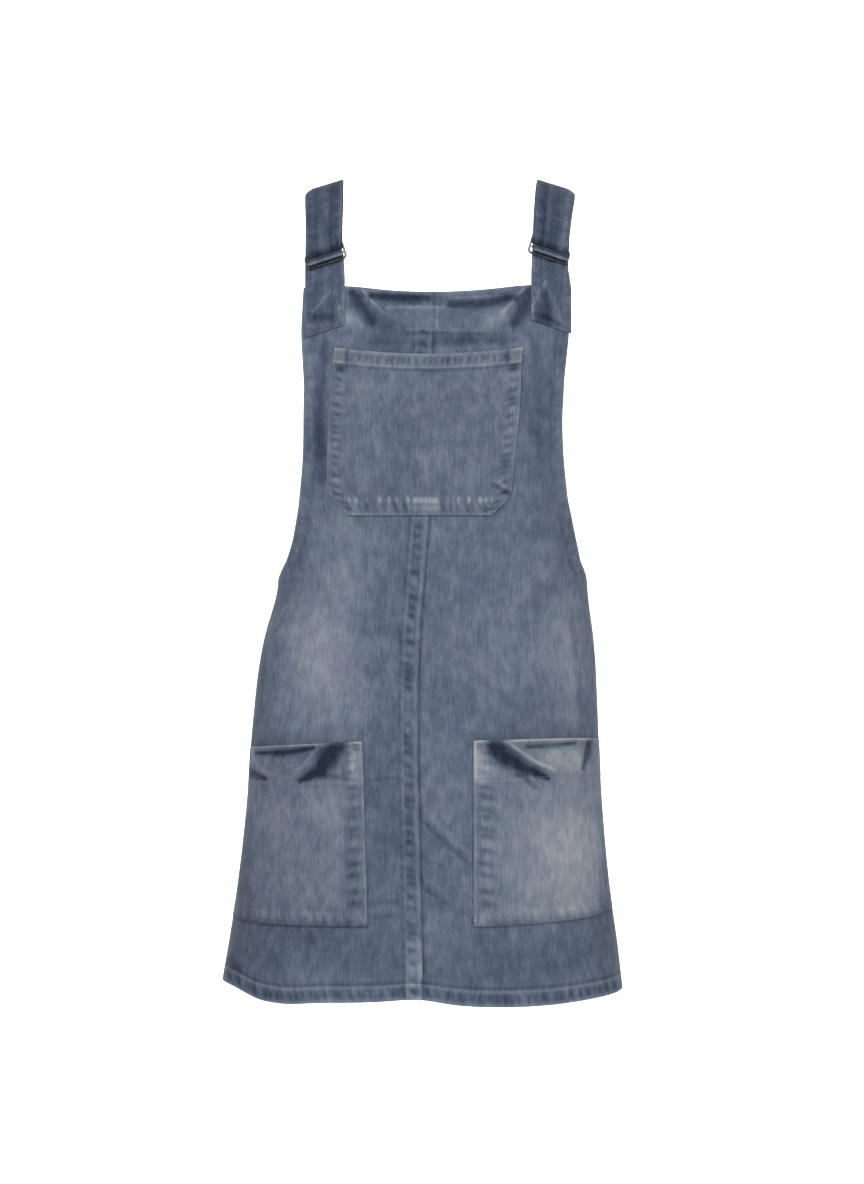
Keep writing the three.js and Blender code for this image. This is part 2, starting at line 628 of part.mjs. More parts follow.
// A metal slider of three square bars in one flat frame
function sliderGeometry() {
  const halfWidth = SLIDER_SLOT_HALF + SLIDER_END;
  const frame = new THREE.Shape();
  const top = BAR_RISE + BAR / 2;
  const bottom = -BAR_DROP - BAR / 2;
  frame.moveTo(-halfWidth, bottom);
  frame.lineTo(halfWidth, bottom);
  frame.lineTo(halfWidth, top);
  frame.lineTo(-halfWidth, top);
  frame.closePath();
  const slots = [
    [BAR / 2, BAR_RISE - BAR / 2],
    [BAR / 2 - BAR_DROP, -BAR / 2],
  ];
  for (const [low, high] of slots) {
    const slot = new THREE.Path();
    slot.moveTo(-SLIDER_SLOT_HALF, low);
    slot.lineTo(SLIDER_SLOT_HALF, low);
    slot.lineTo(SLIDER_SLOT_HALF, high);
    slot.lineTo(-SLIDER_SLOT_HALF, high);
    slot.closePath();
    frame.holes.push(slot);
  }
  return new THREE.ExtrudeGeometry(frame, { depth: BAR, bevelEnabled: false }).translate(0, 0, -BAR / 2);
}

for (const strap of straps) {
  const axes = sliderAxes(strap);
  addPiece(`shoulder_strap_${strap.name}`, shoulderStrap(strap), denim("strap", STRAP_COLOUR));
  addPiece(`strap_tab_${strap.name}`, strapTab(strap), denim("strap", STRAP_COLOUR));
  const metal = new THREE.MeshStandardMaterial({ name: "slider", color: METAL_COLOUR, roughness: 0.4, metalness: 0.9 });
  const slider = addPiece(`slider_${strap.name}`, sliderGeometry(), metal);
  const along = axes.along.clone().multiplyScalar(strap.across);
  slider.quaternion.setFromRotationMatrix(new THREE.Matrix4().makeBasis(along, axes.up, axes.face));
  slider.position.copy(axes.centre);
}

export default group;
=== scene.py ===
import math

import bmesh
import bpy
import numpy as np
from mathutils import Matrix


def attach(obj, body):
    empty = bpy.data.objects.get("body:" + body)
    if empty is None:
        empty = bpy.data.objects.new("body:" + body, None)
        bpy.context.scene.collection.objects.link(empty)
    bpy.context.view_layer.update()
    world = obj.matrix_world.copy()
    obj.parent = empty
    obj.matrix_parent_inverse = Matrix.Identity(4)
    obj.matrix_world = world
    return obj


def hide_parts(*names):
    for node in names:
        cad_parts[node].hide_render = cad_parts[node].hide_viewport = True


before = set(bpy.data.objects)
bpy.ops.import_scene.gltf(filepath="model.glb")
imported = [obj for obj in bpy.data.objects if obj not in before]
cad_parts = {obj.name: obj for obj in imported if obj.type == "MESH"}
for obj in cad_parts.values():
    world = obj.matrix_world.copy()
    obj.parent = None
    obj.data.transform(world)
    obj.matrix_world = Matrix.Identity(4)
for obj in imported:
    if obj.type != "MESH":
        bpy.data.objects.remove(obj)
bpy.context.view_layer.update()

# Front panels
# Two pieces of washed 12 oz denim, each bib and skirt in one, joined by a flat-felled seam down the middle.
# The neckline is turned in a 40 mm band and hangs a little slack, so it falls in a shallow cowl.
MM = 0.001
WALL = 1.6
HEM_WALL = 2.4
SECTION_POWER = 2.2
ARMHOLE_BASE = -415
HEM = -837
FELL_WIDTH = 17
FELL_RAISE = 1.2
SEAM_HALF_GAP = 0.15


def table(columns, *rows):
    """Named columns from rows, in order of their first column."""
    values = np.array(sorted(rows), float)
    return {name: values[:, k] for k, name in enumerate(columns.split())}


def read(source, column, at, key="z"):
    """Smooth value of one column of a table at each place along its first column."""
    xs, ys = source[key], source[column]
    at = np.clip(np.asarray(at, float), xs[0], xs[-1])
    last = len(xs) - 1
    before = np.maximum(np.arange(last + 1) - 1, 0)
    after = np.minimum(np.arange(last + 1) + 1, last)
    slope = (ys[after] - ys[before]) / (xs[after] - xs[before])
    i = np.clip(np.searchsorted(xs, at, side="right") - 1, 0, last - 1)
    span = xs[i + 1] - xs[i]
    t = (at - xs[i]) / span
    level = ys[i] * (1 + 2 * t) * (1 - t) ** 2 + ys[i + 1] * t * t * (3 - 2 * t)
    return level + slope[i] * span * t * (1 - t) ** 2 + slope[i + 1] * span * t * t * (t - 1)


rings = table(
    "z left right front back",
    (-837, 229.5, 191.5, 139, 140),
    (-790, 221.5, 186, 134, 136),
    (-726, 211.5, 177, 129, 131),
    (-643, 202, 169.5, 123, 127),
    (-580, 198, 166.5, 118, 122),
    (-517, 192, 164, 112, 112),
    (-475, 185, 161, 108, 100),
    (-412, 169, 154.5, 106, 88),
    (-330, 172, 158, 112, 92),
    (-250, 177, 163, 112, 96),
    (-160, 183, 169, 96, 98),
    (-100, 187, 173, 83, 96),
)
armholes = table(
    "z left right",
    (-415, -170, 155),
    (-409, -168, 153.4),
    (-401, -164.5, 150.3),
    (-391, -159.5, 145.5),
    (-370, -153, 140),
    (-349, -148.8, 135.4),
    (-328, -145, 131),
    (-286, -140.8, 126),
    (-250, -139.8, 125),
    (-212, -139.8, 127),
    (-160, -142.8, 132.4),
    (-128, -141.5, 134),
    (-100, -140, 133.5),
)
front_lines = table(
    "z seam left_pocket right_pocket",
    (-837, -17.5, -70, 33),
    (-760, -18.7, -73, 34),
    (-636, -21.5, -77, 34),
    (-568, -22.5, -80, 34.5),
    (-491, -21.5, -91, 44),
    (-414, -16.5, -103, 56),
    (-347, -11.4, -111.5, 66),
    (-300, -9, -111, 70),
    (-177, -8, -106.4, 82.5),
    (-100, -7, -97, 87),
)
neckline = table(
    "x z", (-150, -111), (-97, -111), (-50, -116.3), (-7, -118), (40, -115.8), (87, -110), (140, -106)
)
hem_waves = table("x spread rise", (-160, 30, -3.6), (-60, 35, 1.5), (-22, 30, 4.6), (85, 80, -4.5))

# Folds, each as height in mm, shade, crispness (2 is soft, 4 is crisp) and a path of x, z and half width.
# The shade is painted into the colour: negative is painted shade in the hollows and under the ridges,
# positive is a painted highlight on the ridges, partly also the real darker indigo in the folds and paler
# rubbed ridges.
neck_folds = [
    (1.8, 0.15, 2, [(-96, -114, 3), (-7, -122, 3), (86, -113, 3)]),
    (-3.0, -0.1, 2, [(-72, -124, 4), (-8, -129, 6), (40, -130, 6), (78, -123, 4)]),
    (-2.5, -1.05, 3, [(-72, -122, 3), (-42, -124, 3.8), (-12, -125, 3)]),
    (-2.5, -1.15, 2.5, [(10, -131, 3.5), (44, -130, 4.5), (78, -123, 3.5)]),
    (0.6, 0.45, 2, [(10, -125, 1.8), (62, -122.5, 1.5)]),
    (6.0, -0.4, 2, [(-60, -146, 12), (-8, -148, 13), (64, -144, 12)]),
    (4.0, 0.9, 2, [(-79, -116, 1.6), (-70, -127, 2), (-57, -140, 2)]),
    (-5.0, -1.1, 2, [(-91, -118, 4), (-80, -134, 7), (-69, -149, 5)]),
    (2.0, 1.1, 2, [(-106, -143, 7), (-87, -146, 8)]),
    (4.0, 0.9, 2, [(88, -111, 1.6), (80, -120, 2), (63, -139, 2.2)]),
    (1.5, 1.0, 2, [(50, -147, 8), (62, -143, 8)]),
    (-5.0, -1.15, 2, [(92, -116, 5), (87, -132, 7.5), (77, -150, 5)]),
    (0.0, -0.5, 2, [(2, -167, 7), (64, -166, 7)]),
]
bib_folds = [
    (-1.5, -0.75, 2, [(-119, -172, 5), (-123, -230, 6), (-121, -310, 5)]),
    (0.8, 0.15, 2, [(-132, -180, 4), (-133, -300, 4)]),
    (-1.2, -0.3, 2, [(98, -175, 6), (103, -240, 6), (100, -300, 5)]),
    (-1.0, -0.35, 2, [(-86, -168, 4), (-10, -172, 5), (76, -167, 4)]),
    (1.0, 0.2, 2, [(-100, -362, 9), (-40, -372, 10)]),
    (1.2, 0.15, 2, [(118, -372, 6), (86, -430, 12)]),
    (-1.1, -0.2, 2, [(132, -392, 6), (104, -440, 9)]),
    (-1.0, -0.2, 2, [(-140, -398, 6), (-118, -432, 8)]),
]
skirt_folds = [
    (1.6, 0.15, 2, [(126, -455, 6), (137, -560, 6)]),
    (-1.6, -0.3, 2, [(137, -452, 4), (148, -562, 5)]),
    (-1.2, -0.6, 2, [(-17, -655, 1.8), (2, -673, 2.4), (14, -684, 2.4), (28, -696, 1.8)]),
    (1.2, 0.3, 2, [(-10, -651, 2.2), (10, -669, 3), (26, -684, 2.5)]),
    (-1.0, -0.5, 2, [(-21, -708, 1.8), (-16, -722, 2.2), (-6, -729, 2.2), (6, -736, 1.6)]),
    (0.9, 0.25, 2, [(-14, -714, 2.2), (2, -724, 2.5)]),
    (-0.5, -0.25, 2, [(-15, -694, 1.6), (5, -701, 1.8)]),
    (-0.7, -0.4, 2, [(-72, -614, 2), (-42, -611, 2)]),
    (-0.7, -0.35, 2, [(-70, -737, 2), (-42, -735, 2.2)]),
    (-0.6, -0.3, 2, [(-68, -752, 1.8), (-46, -749, 2)]),
    (0.9, 0.2, 2, [(-72, -744, 3), (-44, -742, 3)]),
    (-1.3, -0.25, 2, [(-182, -470, 6), (-186, -556, 6)]),
    (1.2, 0.1, 2, [(-172, -462, 6), (-174, -560, 7)]),
    (-1.0, -0.25, 2, [(150, -790, 8), (120, -800, 9)]),
    (1.0, 0.1, 2, [(-110, -770, 12), (-60, -800, 12)]),
    (-0.4, -0.8, 2, [(-216, -806, 5), (-207, -811, 4)]),
]


def smooth(t):
    t = np.clip(t, 0, 1)
    return t * t * (3 - 2 * t)


def within(at, low, high, fade, far_fade=None):
    """Share from 0 to 1 of lying between two places, with soft ends."""
    return smooth((at - low) / fade) * smooth((high - at) / (far_fade or fade))


def section(z):
    """Middle, half width, front depth and back depth of the dress at a height."""
    left, right = read(rings, "left", z), read(rings, "right", z)
    return (right - left) / 2, (right + left) / 2, read(rings, "front", z), read(rings, "back", z)


def angle_at(x, z):
    """Angle round the section where it reaches x: 0 at the right side seam, pi at the left one."""
    middle, half, _, _ = section(z)
    share = np.clip((x - middle) / half, -1, 1)
    return np.arccos(np.sign(share) * np.abs(share) ** (SECTION_POWER / 2))


def body(angle, z, side):
    """Points of the dress's outer face and their normals. Side is -1 in front and 1 behind."""
    middle, half, front, back = section(z)
    depth = front if side < 0 else back
    u = np.sign(np.cos(angle)) * np.abs(np.cos(angle)) ** (2 / SECTION_POWER)
    v = np.abs(np.sin(angle)) ** (2 / SECTION_POWER)
    points = np.stack([middle + half * u, side * depth * v, z + 0 * u], -1)
    slope_x = np.sign(u) * np.abs(u) ** (SECTION_POWER - 1) / half
    slope_y = side * v ** (SECTION_POWER - 1) / depth
    normals = np.stack([slope_x, slope_y, 0 * u], -1)
    return points, normals / np.linalg.norm(normals, axis=-1, keepdims=True)


def folded(folds, x, z):
    """Height of a list of folds at each place, and their painted shade and painted highlight for the colour.
    """
    height, shade = np.zeros_like(x), np.zeros_like(x)
    for rise, dark, crisp, path in folds:
        share = np.zeros_like(x)
        for (x1, z1, half1), (x2, z2, half2) in zip(path, path[1:]):
            dx, dz = x2 - x1, z2 - z1
            t = np.clip(((x - x1) * dx + (z - z1) * dz) / (dx * dx + dz * dz), 0, 1)
            away = np.hypot(x - x1 - t * dx, z - z1 - t * dz) / (half1 + (half2 - half1) * t)
            share = np.maximum(share, np.exp(-(away**crisp)))
        height += rise * share
        shade += dark * share
    return height, shade


def drift(at, pitch, seed):
    """Smooth random values from -1 to 1 along a line, one every pitch."""
    values = np.random.default_rng(seed).uniform(-1, 1, 4096)
    place = np.asarray(at, float) / pitch + 2048
    i = np.floor(place).astype(int) % 4095
    return values[i] + (values[i + 1] - values[i]) * smooth(place - np.floor(place))


def mottle(x, z, pitch, seed):
    """Smooth random values from -1 to 1 over the cloth, one every pitch each way."""
    values = np.random.default_rng(seed).uniform(-1, 1, (256, 256))
    u, v = np.asarray(x) / pitch + 128, np.asarray(z) / pitch + 200
    i, j = np.floor(u).astype(int) % 255, np.floor(v).astype(int) % 255
    s, t = smooth(u - np.floor(u)), smooth(v - np.floor(v))
    low = values[i, j] + (values[i + 1, j] - values[i, j]) * s
    high = values[i, j + 1] + (values[i + 1, j + 1] - values[i, j + 1]) * s
    return low + (high - low) * t


def puckers(along, away, pitch, reach, seed):
    """Uneven sunk spots where a shrunken seam ropes, from -1 in a spot to 0.35 between them."""
    steps = np.random.default_rng(seed).uniform(0.6, 1.5, (2, 420))
    spots = np.cumsum(steps[0]) * pitch - 1300
    place = along + 0.25 * away
    i = np.clip(np.searchsorted(spots, place), 1, 419)
    sunk = 0
    for k in (i - 1, i):
        sunk = sunk + np.minimum(1, steps[1][k]) * np.exp(-(((place - spots[k]) / (0.3 * pitch)) ** 2))
    return (0.35 - sunk) * np.exp(-((away / reach) ** 2))


def band(distance, half):
    """Share from 0 to 1 of a soft line of a half width, at each distance from its middle."""
    return np.exp(-((distance / half) ** 2))


def roped(ropes):
    """Tone and wear of puckers: dark where they sink, partly unfaded indigo and partly painted shade, and
    worn pale where they stand up.
    """
    return 1.25 * np.minimum(ropes, 0), 0.9 * np.maximum(ropes, 0)


def blobs(source, x, z):
    """Sum of soft round patches, such as worn places."""
    total = np.zeros_like(x)
    for cx, cz, wide, high, amount in zip(*(source[k] for k in "x z wide high amount".split())):
        total += amount * np.exp(-(((x - cx) / wide) ** 2) - ((z - cz) / high) ** 2)
    return total


def mark(mesh, key, values):
    """Values at a mesh's points, for its material to read."""
    mesh.attributes.new(key, "FLOAT", "POINT").data.foreach_set("value", np.asarray(values, np.float32))


def place(name, mesh, material, nodes, slot):
    """A finished piece that rides with the dress and stands for its CAD nodes."""
    piece = bpy.data.objects.new(name, mesh)
    bpy.context.scene.collection.objects.link(piece)
    mesh.materials.append(material)
    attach(piece, "root")
    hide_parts(*nodes)
    return piece


def cloth(name, grid, rim, material, node, slot, reverse=1.0):
    """A piece of cloth with rounded edges, and its outer face.

    Its grid holds points, normals, the inner and the outer face's lift, tone and wear."""
    points, normals, low, high, tone, wear = grid
    outer, inner = (points + normals * (lift + 0 * tone)[..., None] for lift in (high, low))
    rows, columns = tone.shape
    top = [(0, j) for j in range(columns)]
    right = [(i, columns - 1) for i in range(1, rows)]
    bottom = [(rows - 1, j) for j in range(columns - 2, -1, -1)]
    left = [(i, 0) for i in range(rows - 2, 0, -1)]
    i, j = np.array(top + right + bottom + left).T
    away = outer[i, j] - outer[np.clip(i, 1, rows - 2), np.clip(j, 1, columns - 2)]
    away /= np.maximum(np.linalg.norm(away, axis=1, keepdims=True), 1e-9)
    middle, radius = (outer[i, j] + inner[i, j]) / 2, (outer[i, j] - inner[i, j]) / 2
    bulge = away * np.linalg.norm(radius, axis=1, keepdims=True) * rim
    rounds = [middle + radius * math.cos(a) + bulge * math.sin(a) for a in np.radians([45, 90, 135])]
    count, edge = rows * columns, len(i)
    corners = np.concatenate([outer.reshape(-1, 3), inner.reshape(-1, 3), *rounds])
    a = np.arange(count).reshape(rows, columns)[:-1, :-1].ravel()
    cells = np.stack([a, a + columns, a + columns + 1, a + 1], 1)
    faces = [cells, cells[:, ::-1] + count]
    flat = i * columns + j
    lines = [flat, *(2 * count + k * edge + np.arange(edge) for k in range(3)), flat + count]
    for one, two in zip(lines, lines[1:]):
        faces.append(np.stack([one, np.roll(one, -1), np.roll(two, -1), two], 1))
    faces = np.concatenate(faces)
    face = corners[faces]
    if sum(np.sum(face[:, 0] * np.cross(face[:, k], face[:, k + 1])) for k in (1, 2)) < 0:
        faces = faces[:, ::-1]
    mesh = bpy.data.meshes.new(name)
    mesh.from_pydata((corners * MM).tolist(), [], faces.tolist())
    mesh.shade_smooth()
    mark(mesh, "tone", np.concatenate([tone.ravel(), tone.ravel(), *[tone[i, j]] * 3]))
    mark(mesh, "wear", np.concatenate([wear.ravel(), np.zeros(count), *[wear[i, j] + 0.25] * 3]))
    mark(mesh, "reverse", reverse * np.repeat([0, 0.75, 0, 0.6], [count, count, 2 * edge, edge]))
    mesh.validate()
    return place(name, mesh, material, [node], slot), (outer, normals)


def linear(colour):
    """An sRGB hex colour as linear RGBA."""
    parts = [int(colour[k : k + 2], 16) / 255 for k in (1, 3, 5)]
    return [c / 12.92 if c <= 0.04045 else ((c + 0.055) / 1.055) ** 2.4 for c in parts] + [1]


def add(tree, kind, inputs=(), out=0, **settings):
    """Adds a node, with its settings and its inputs as values or links, and gives one of its outputs."""
    node = tree.nodes.new(kind)
    for key, value in settings.items():
        setattr(node, key, value)
    for key, value in dict(inputs).items():
        if isinstance(value, bpy.types.NodeSocket):
            tree.links.new(value, node.inputs[key])
        else:
            node.inputs[key].default_value = value
    return node.outputs[out] if len(node.outputs) else None


def washed_denim(name, stops, shift, streaks):
    """Indigo warp over white weft, stone washed: streaky along the warp and pale where it rubs."""
    material = bpy.data.materials.new(name)
    material.use_nodes = True
    tree = material.node_tree
    tree.nodes.clear()
    here = add(tree, "ShaderNodeTexCoord", out="Object")

    # Slubs, the thick places in the warp yarn, are about 1.6 mm wide and 24 mm long. Grain is the
    # single yarns' unevenness, near 1 mm. Clouds of wash are about 9 by 14 mm, with finer ones in them.
    noises = {}
    for label, scale, detail in (
        ("slub", (620, 620, 42), 2.0),
        ("grain", (900, 900, 300), 1.0),
        ("cloud", (110, 110, 70), 3.0),
        ("tint", (34, 34, 34), 2.0),
    ):
        stretched = add(tree, "ShaderNodeMapping", {"Vector": here, "Location": shift, "Scale": scale})
        noise = {"Vector": stretched, "Scale": 1.0, "Detail": detail, "Roughness": 0.55}
        noises[label] = add(tree, "ShaderNodeTexNoise", noise, "Fac")
    # The tone mark holds the wash and fade, and also the painted shade and painted highlight of folds,
    # seams, hems and sides.
    marks = {}
    for key in ("tone", "wear", "reverse"):
        marks[key] = add(tree, "ShaderNodeAttribute", out="Fac", attribute_name=key)
    total = 0.5 - (streaks + 0.2 + 0.45) / 2
    for value, amount in (
        (marks["tone"], 0.25),
        (noises["slub"], streaks),
        (noises["grain"], 0.2),
        (noises["cloud"], 0.45),
        (marks["wear"], 0.3),
    ):
        total = add(tree, "ShaderNodeMath", {0: value, 1: amount, 2: total}, operation="MULTIPLY_ADD")
    ramp = add(tree, "ShaderNodeValToRGB", {"Fac": total})
    elements = ramp.node.color_ramp.elements
    for k, (position, colour) in enumerate(stops):
        stop = elements[k] if k < 2 else elements.new(position)
        stop.position = position
        stop.color = linear(colour)
    # Old indigo fades unevenly, here a little redder and there a little greener.
    tinted = []
    for tint in ("#BEB6C4", "#AEBDBC"):
        leaned = {0: 0.4, 6: ramp, 7: linear(tint)}
        tinted.append(add(tree, "ShaderNodeMix", leaned, 2, data_type="RGBA", blend_type="MULTIPLY"))
    lean = add(tree, "ShaderNodeMapRange", {"Value": noises["tint"], "From Min": 0.35, "From Max": 0.65})
    faded = add(tree, "ShaderNodeMix", {0: lean, 6: tinted[0], 7: tinted[1]}, 2, data_type="RGBA")
    sides = {0: marks["reverse"], 6: faded, 7: linear("#7D838D")}
    both = add(tree, "ShaderNodeMix", sides, 2, data_type="RGBA")
    # The twill's diagonal ribs, drawn at 1.7 mm instead of their real 0.8 mm so that they don't shimmer.
    ribs = {"Vector": here, "Scale": 190.0, "Distortion": 1.5, "Detail": 1.0, "Detail Scale": 6.0}
    twill = add(tree, "ShaderNodeTexWave", ribs, "Fac", bands_direction="DIAGONAL")
    height = noises["grain"]
    for value, amount in ((twill, 0.5), (noises["slub"], 0.6)):
        height = add(tree, "ShaderNodeMath", {0: value, 1: amount, 2: height}, operation="MULTIPLY_ADD")
    surface = {
        "Base Color": both,
        "Roughness": 0.88,
        "Specular IOR Level": 0.25,
        "Sheen Weight": 0.08,
        "Sheen Roughness": 0.5,
        "Normal": add(tree, "ShaderNodeBump", {"Height": height, "Strength": 0.35, "Distance": 0.0004}),
    }
    shader = add(tree, "ShaderNodeBsdfPrincipled", surface)
    add(tree, "ShaderNodeOutputMaterial", {"Surface": shader})
    return material


def plain(name, colour, roughness, specular):
    """A material of one colour all over."""
    material = bpy.data.materials.new(name)
    material.use_nodes = True
    inputs = material.node_tree.nodes["Principled BSDF"].inputs
    inputs["Base Color"].default_value = linear(colour)
    inputs["Roughness"].default_value = roughness
    inputs["Specular IOR Level"].default_value = specular
    return material


# Washed indigo denim on the panels: mid blue grey, with dark folds, partly unworn indigo and partly painted
# shade from the tone, and pale rubbed edges.
panel_denim = washed_denim(
    "washed indigo denim",
    [(0.0, "#202C3F"), (1.0, "#B4B7BC"), (0.25, "#455166"), (0.5, "#687489"), (0.75, "#8D96A6")],
    (0, 0, 0),
    0.36,
)
# Cotton thread, washed with the denim.
stitch_thread = plain("washed cotton topstitching thread", "#787E88", 0.8, 0.2)
bar_thread = plain("washed cotton bartack thread", "#85858E", 0.8, 0.2)

worn_front = table(
    "x z wide high amount",
    (-116, -472, 42, 85, 1.15),
    (-70, -390, 50, 40, 0.2),
    (85, -440, 55, 70, 0.2),
    (143, -520, 32, 90, 0.75),
    (-58, -520, 24, 90, -0.25),
    (98, -270, 14, 110, -0.25),
    (-54, -665, 26, 95, -0.35),
    (-120, -790, 80, 26, -0.3),
    (90, -790, 90, 26, -0.2),
    (-4, -150, 52, 14, 0.25),
    (-95, -355, 12, 24, 0.2),
)


def stitch_rows():
    """The tree that lays one twisted bead of thread per stitch along every seam line."""
    tree = bpy.data.node_groups.new("topstitch rows", "GeometryNodeTree")
    kinds = {"Seam lines": "Geometry", "Pitch": "Float", "Length": "Float", "Thickness": "Float"}
    kinds["Thread"] = "Material"
    for label, kind in kinds.items():
        tree.interface.new_socket(label, in_out="INPUT", socket_type="NodeSocket" + kind)
    tree.interface.new_socket("Stitches", in_out="OUTPUT", socket_type="NodeSocketGeometry")
    given = add(tree, "NodeGroupInput").node.outputs
    line = add(tree, "GeometryNodeMeshToCurve", {"Mesh": given["Seam lines"]})
    even = add(tree, "GeometryNodeResampleCurve", {"Curve": line, "Length": given["Pitch"]}, mode="LENGTH")
    along = add(tree, "GeometryNodeInputTangent")
    turn = add(tree, "FunctionNodeAlignRotationToVector", {"Vector": along}, axis="X")
    bead = add(tree, "GeometryNodeMeshUVSphere", {"Segments": 6, "Rings": 4, "Radius": 0.5}, "Mesh")
    thick = given["Thickness"]
    size = add(tree, "ShaderNodeCombineXYZ", {"X": given["Length"], "Y": thick, "Z": thick})
    stitch = add(tree, "GeometryNodeTransform", {"Geometry": bead, "Scale": size})
    uneven = add(tree, "FunctionNodeRandomValue", {2: 0.75, 3: 1.1, "Seed": 7}, 1, data_type="FLOAT")
    beads = {"Points": even, "Instance": stitch, "Rotation": turn, "Scale": uneven}
    sewn = add(tree, "GeometryNodeInstanceOnPoints", beads)
    real = add(tree, "GeometryNodeRealizeInstances", {0: sewn})
    rounded = add(tree, "GeometryNodeSetShadeSmooth", {0: real})
    threaded = add(tree, "GeometryNodeSetMaterial", {0: rounded, "Material": given["Thread"]})
    add(tree, "NodeGroupOutput", {"Stitches": threaded})
    return tree


stitch_tree = stitch_rows()
STITCH_PITCH, STITCH_LENGTH, STITCH_THICKNESS = 3.2, 2.5, 0.6


def sew(name, lines, thread=stitch_thread, pitch=STITCH_PITCH, length=STITCH_LENGTH):
    """Topstitching along lines of points in mm, as one piece."""
    starts = np.cumsum([0] + [len(line) for line in lines])
    edges = [(k, k + 1) for a, b in zip(starts, starts[1:]) for k in range(a, b - 1)]
    mesh = bpy.data.meshes.new(name)
    mesh.from_pydata((np.concatenate(lines) * MM).tolist(), edges, [])
    piece = bpy.data.objects.new(name, mesh)
    bpy.context.scene.collection.objects.link(piece)
    sewing = piece.modifiers.new("topstitching", "NODES")
    sewing.node_group = stitch_tree
    given = {"Pitch": pitch * MM, "Length": length * MM, "Thread": thread}
    given["Thickness"] = STITCH_THICKNESS * MM
    for socket in stitch_tree.interface.items_tree:
        if socket.name in given:
            sewing[socket.identifier] = given[socket.name]
    done = piece.evaluated_get(bpy.context.evaluated_depsgraph_get())
    stitched = bpy.data.meshes.new_from_object(done)
    piece.modifiers.clear()
    piece.data = stitched
    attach(piece, "root")
    return piece


def sample(surface, row, column):
    """Points just on a cloth grid at fractional rows and columns."""
    outer, normals = surface
    rows, columns = outer.shape[:2]
    row, column = np.broadcast_arrays(np.clip(row, 0, rows - 1.001), np.clip(column, 0, columns - 1.001))
    i, j = row.astype(int), column.astype(int)
    s, t = (row - i)[:, None], (column - j)[:, None]
    grid = outer + normals * 0.12
    low = grid[i, j] * (1 - t) + grid[i, j + 1] * t
    high = grid[i + 1, j] * (1 - t) + grid[i + 1, j + 1] * t
    return low * (1 - s) + high * s


def sewn_at(surface, path):
    """A seam line over a cloth grid through places given as x and z."""
    outer = surface[0]
    rows, columns = outer.shape[:2]
    turned = 1 if outer[0, -1, 0] > outer[0, 0, 0] else -1
    path = np.array(path, float)
    length = np.concatenate([[0], np.cumsum(np.hypot(*np.diff(path, axis=0).T))])
    at = np.linspace(0, length[-1], max(2, int(length[-1] / 1.6)))
    x, z = np.interp(at, length, path[:, 0]), np.interp(at, length, path[:, 1])
    row = np.interp(-z, -outer[:, columns // 2, 2], np.arange(rows))
    column = row * 0
    for _ in range(3):
        i = row.round().astype(int)
        for k in range(len(at)):
            column[k] = np.interp(turned * x[k], turned * outer[i[k], :, 0], np.arange(columns))
        j = column.round().astype(int)
        for k in range(len(at)):
            row[k] = np.interp(-z[k], -outer[:, j[k], 2], np.arange(rows))
    return sample(surface, row, column)


def runs(surface, *lines):
    """Straight rows of stitches over a cloth grid.

    Each line holds its first and last row and first and last column, negative from the far edge."""
    last_row, last_column = surface[0].shape[0] - 1, surface[0].shape[1] - 1
    sewn = []
    for line in lines:
        ends = [at % last for at, last in zip(line, (last_row, last_row, last_column, last_column))]
        sewn.append(sample(surface, np.linspace(*ends[:2], 90), np.linspace(*ends[2:], 90)))
    return sewn


NECK = -112
HEM_DEPTH = 15
ARMHOLE_HEM = 10
NECK_BAND = 46


def hem_corner(x, level):
    """How far the left seam's shrinkage lifts the hem's corner."""
    return 9 * smooth((-178 - x) / 48) * smooth((-740 - level) / 97)


def hem_height(level, x):
    """A level row's height once the neckline's curve and the hem's waves are in it."""
    top = read(neckline, "z", x, "x") - NECK
    wave = 0
    for centre, wide, rise in zip(hem_waves["x"], hem_waves["spread"], hem_waves["rise"]):
        wave = wave + rise * band(x - centre, wide)
    wave = wave * smooth((-740 - level) / 97)
    return level + top * smooth((level + 165) / 53) + wave + hem_corner(x, level)


def edge_distance(x, z):
    """How far a place on the bib is from the armhole edge, along x."""
    left, right = read(armholes, "left", z), read(armholes, "right", z)
    return np.where(z > ARMHOLE_BASE, np.minimum(x - left, right - x), 1000.0)


def side_seam(x, z, angle):
    """How far round a place is from the side seam, and painted shade where the cloth turns away towards the
    sides and along the seam.
    """
    aside = np.where(z < ARMHOLE_BASE, np.minimum(angle, math.pi - angle), 1.0)
    middle, half, _, _ = section(z)
    return aside, -0.6 * smooth((np.abs((x - middle) / half) - 0.82) / 0.18) - 0.6 * band(aside, 0.04)


def washed(x, z, seed):
    """Large and small patches of uneven wash."""
    return 0.28 * mottle(x, z, 45, seed) + 0.14 * mottle(x, z, 14, seed + 1)


def hemmed(hem):
    """The wall's thickness at a distance over the hem."""
    return WALL + (HEM_WALL - WALL) * smooth((HEM_DEPTH + 2 - hem) / 3)


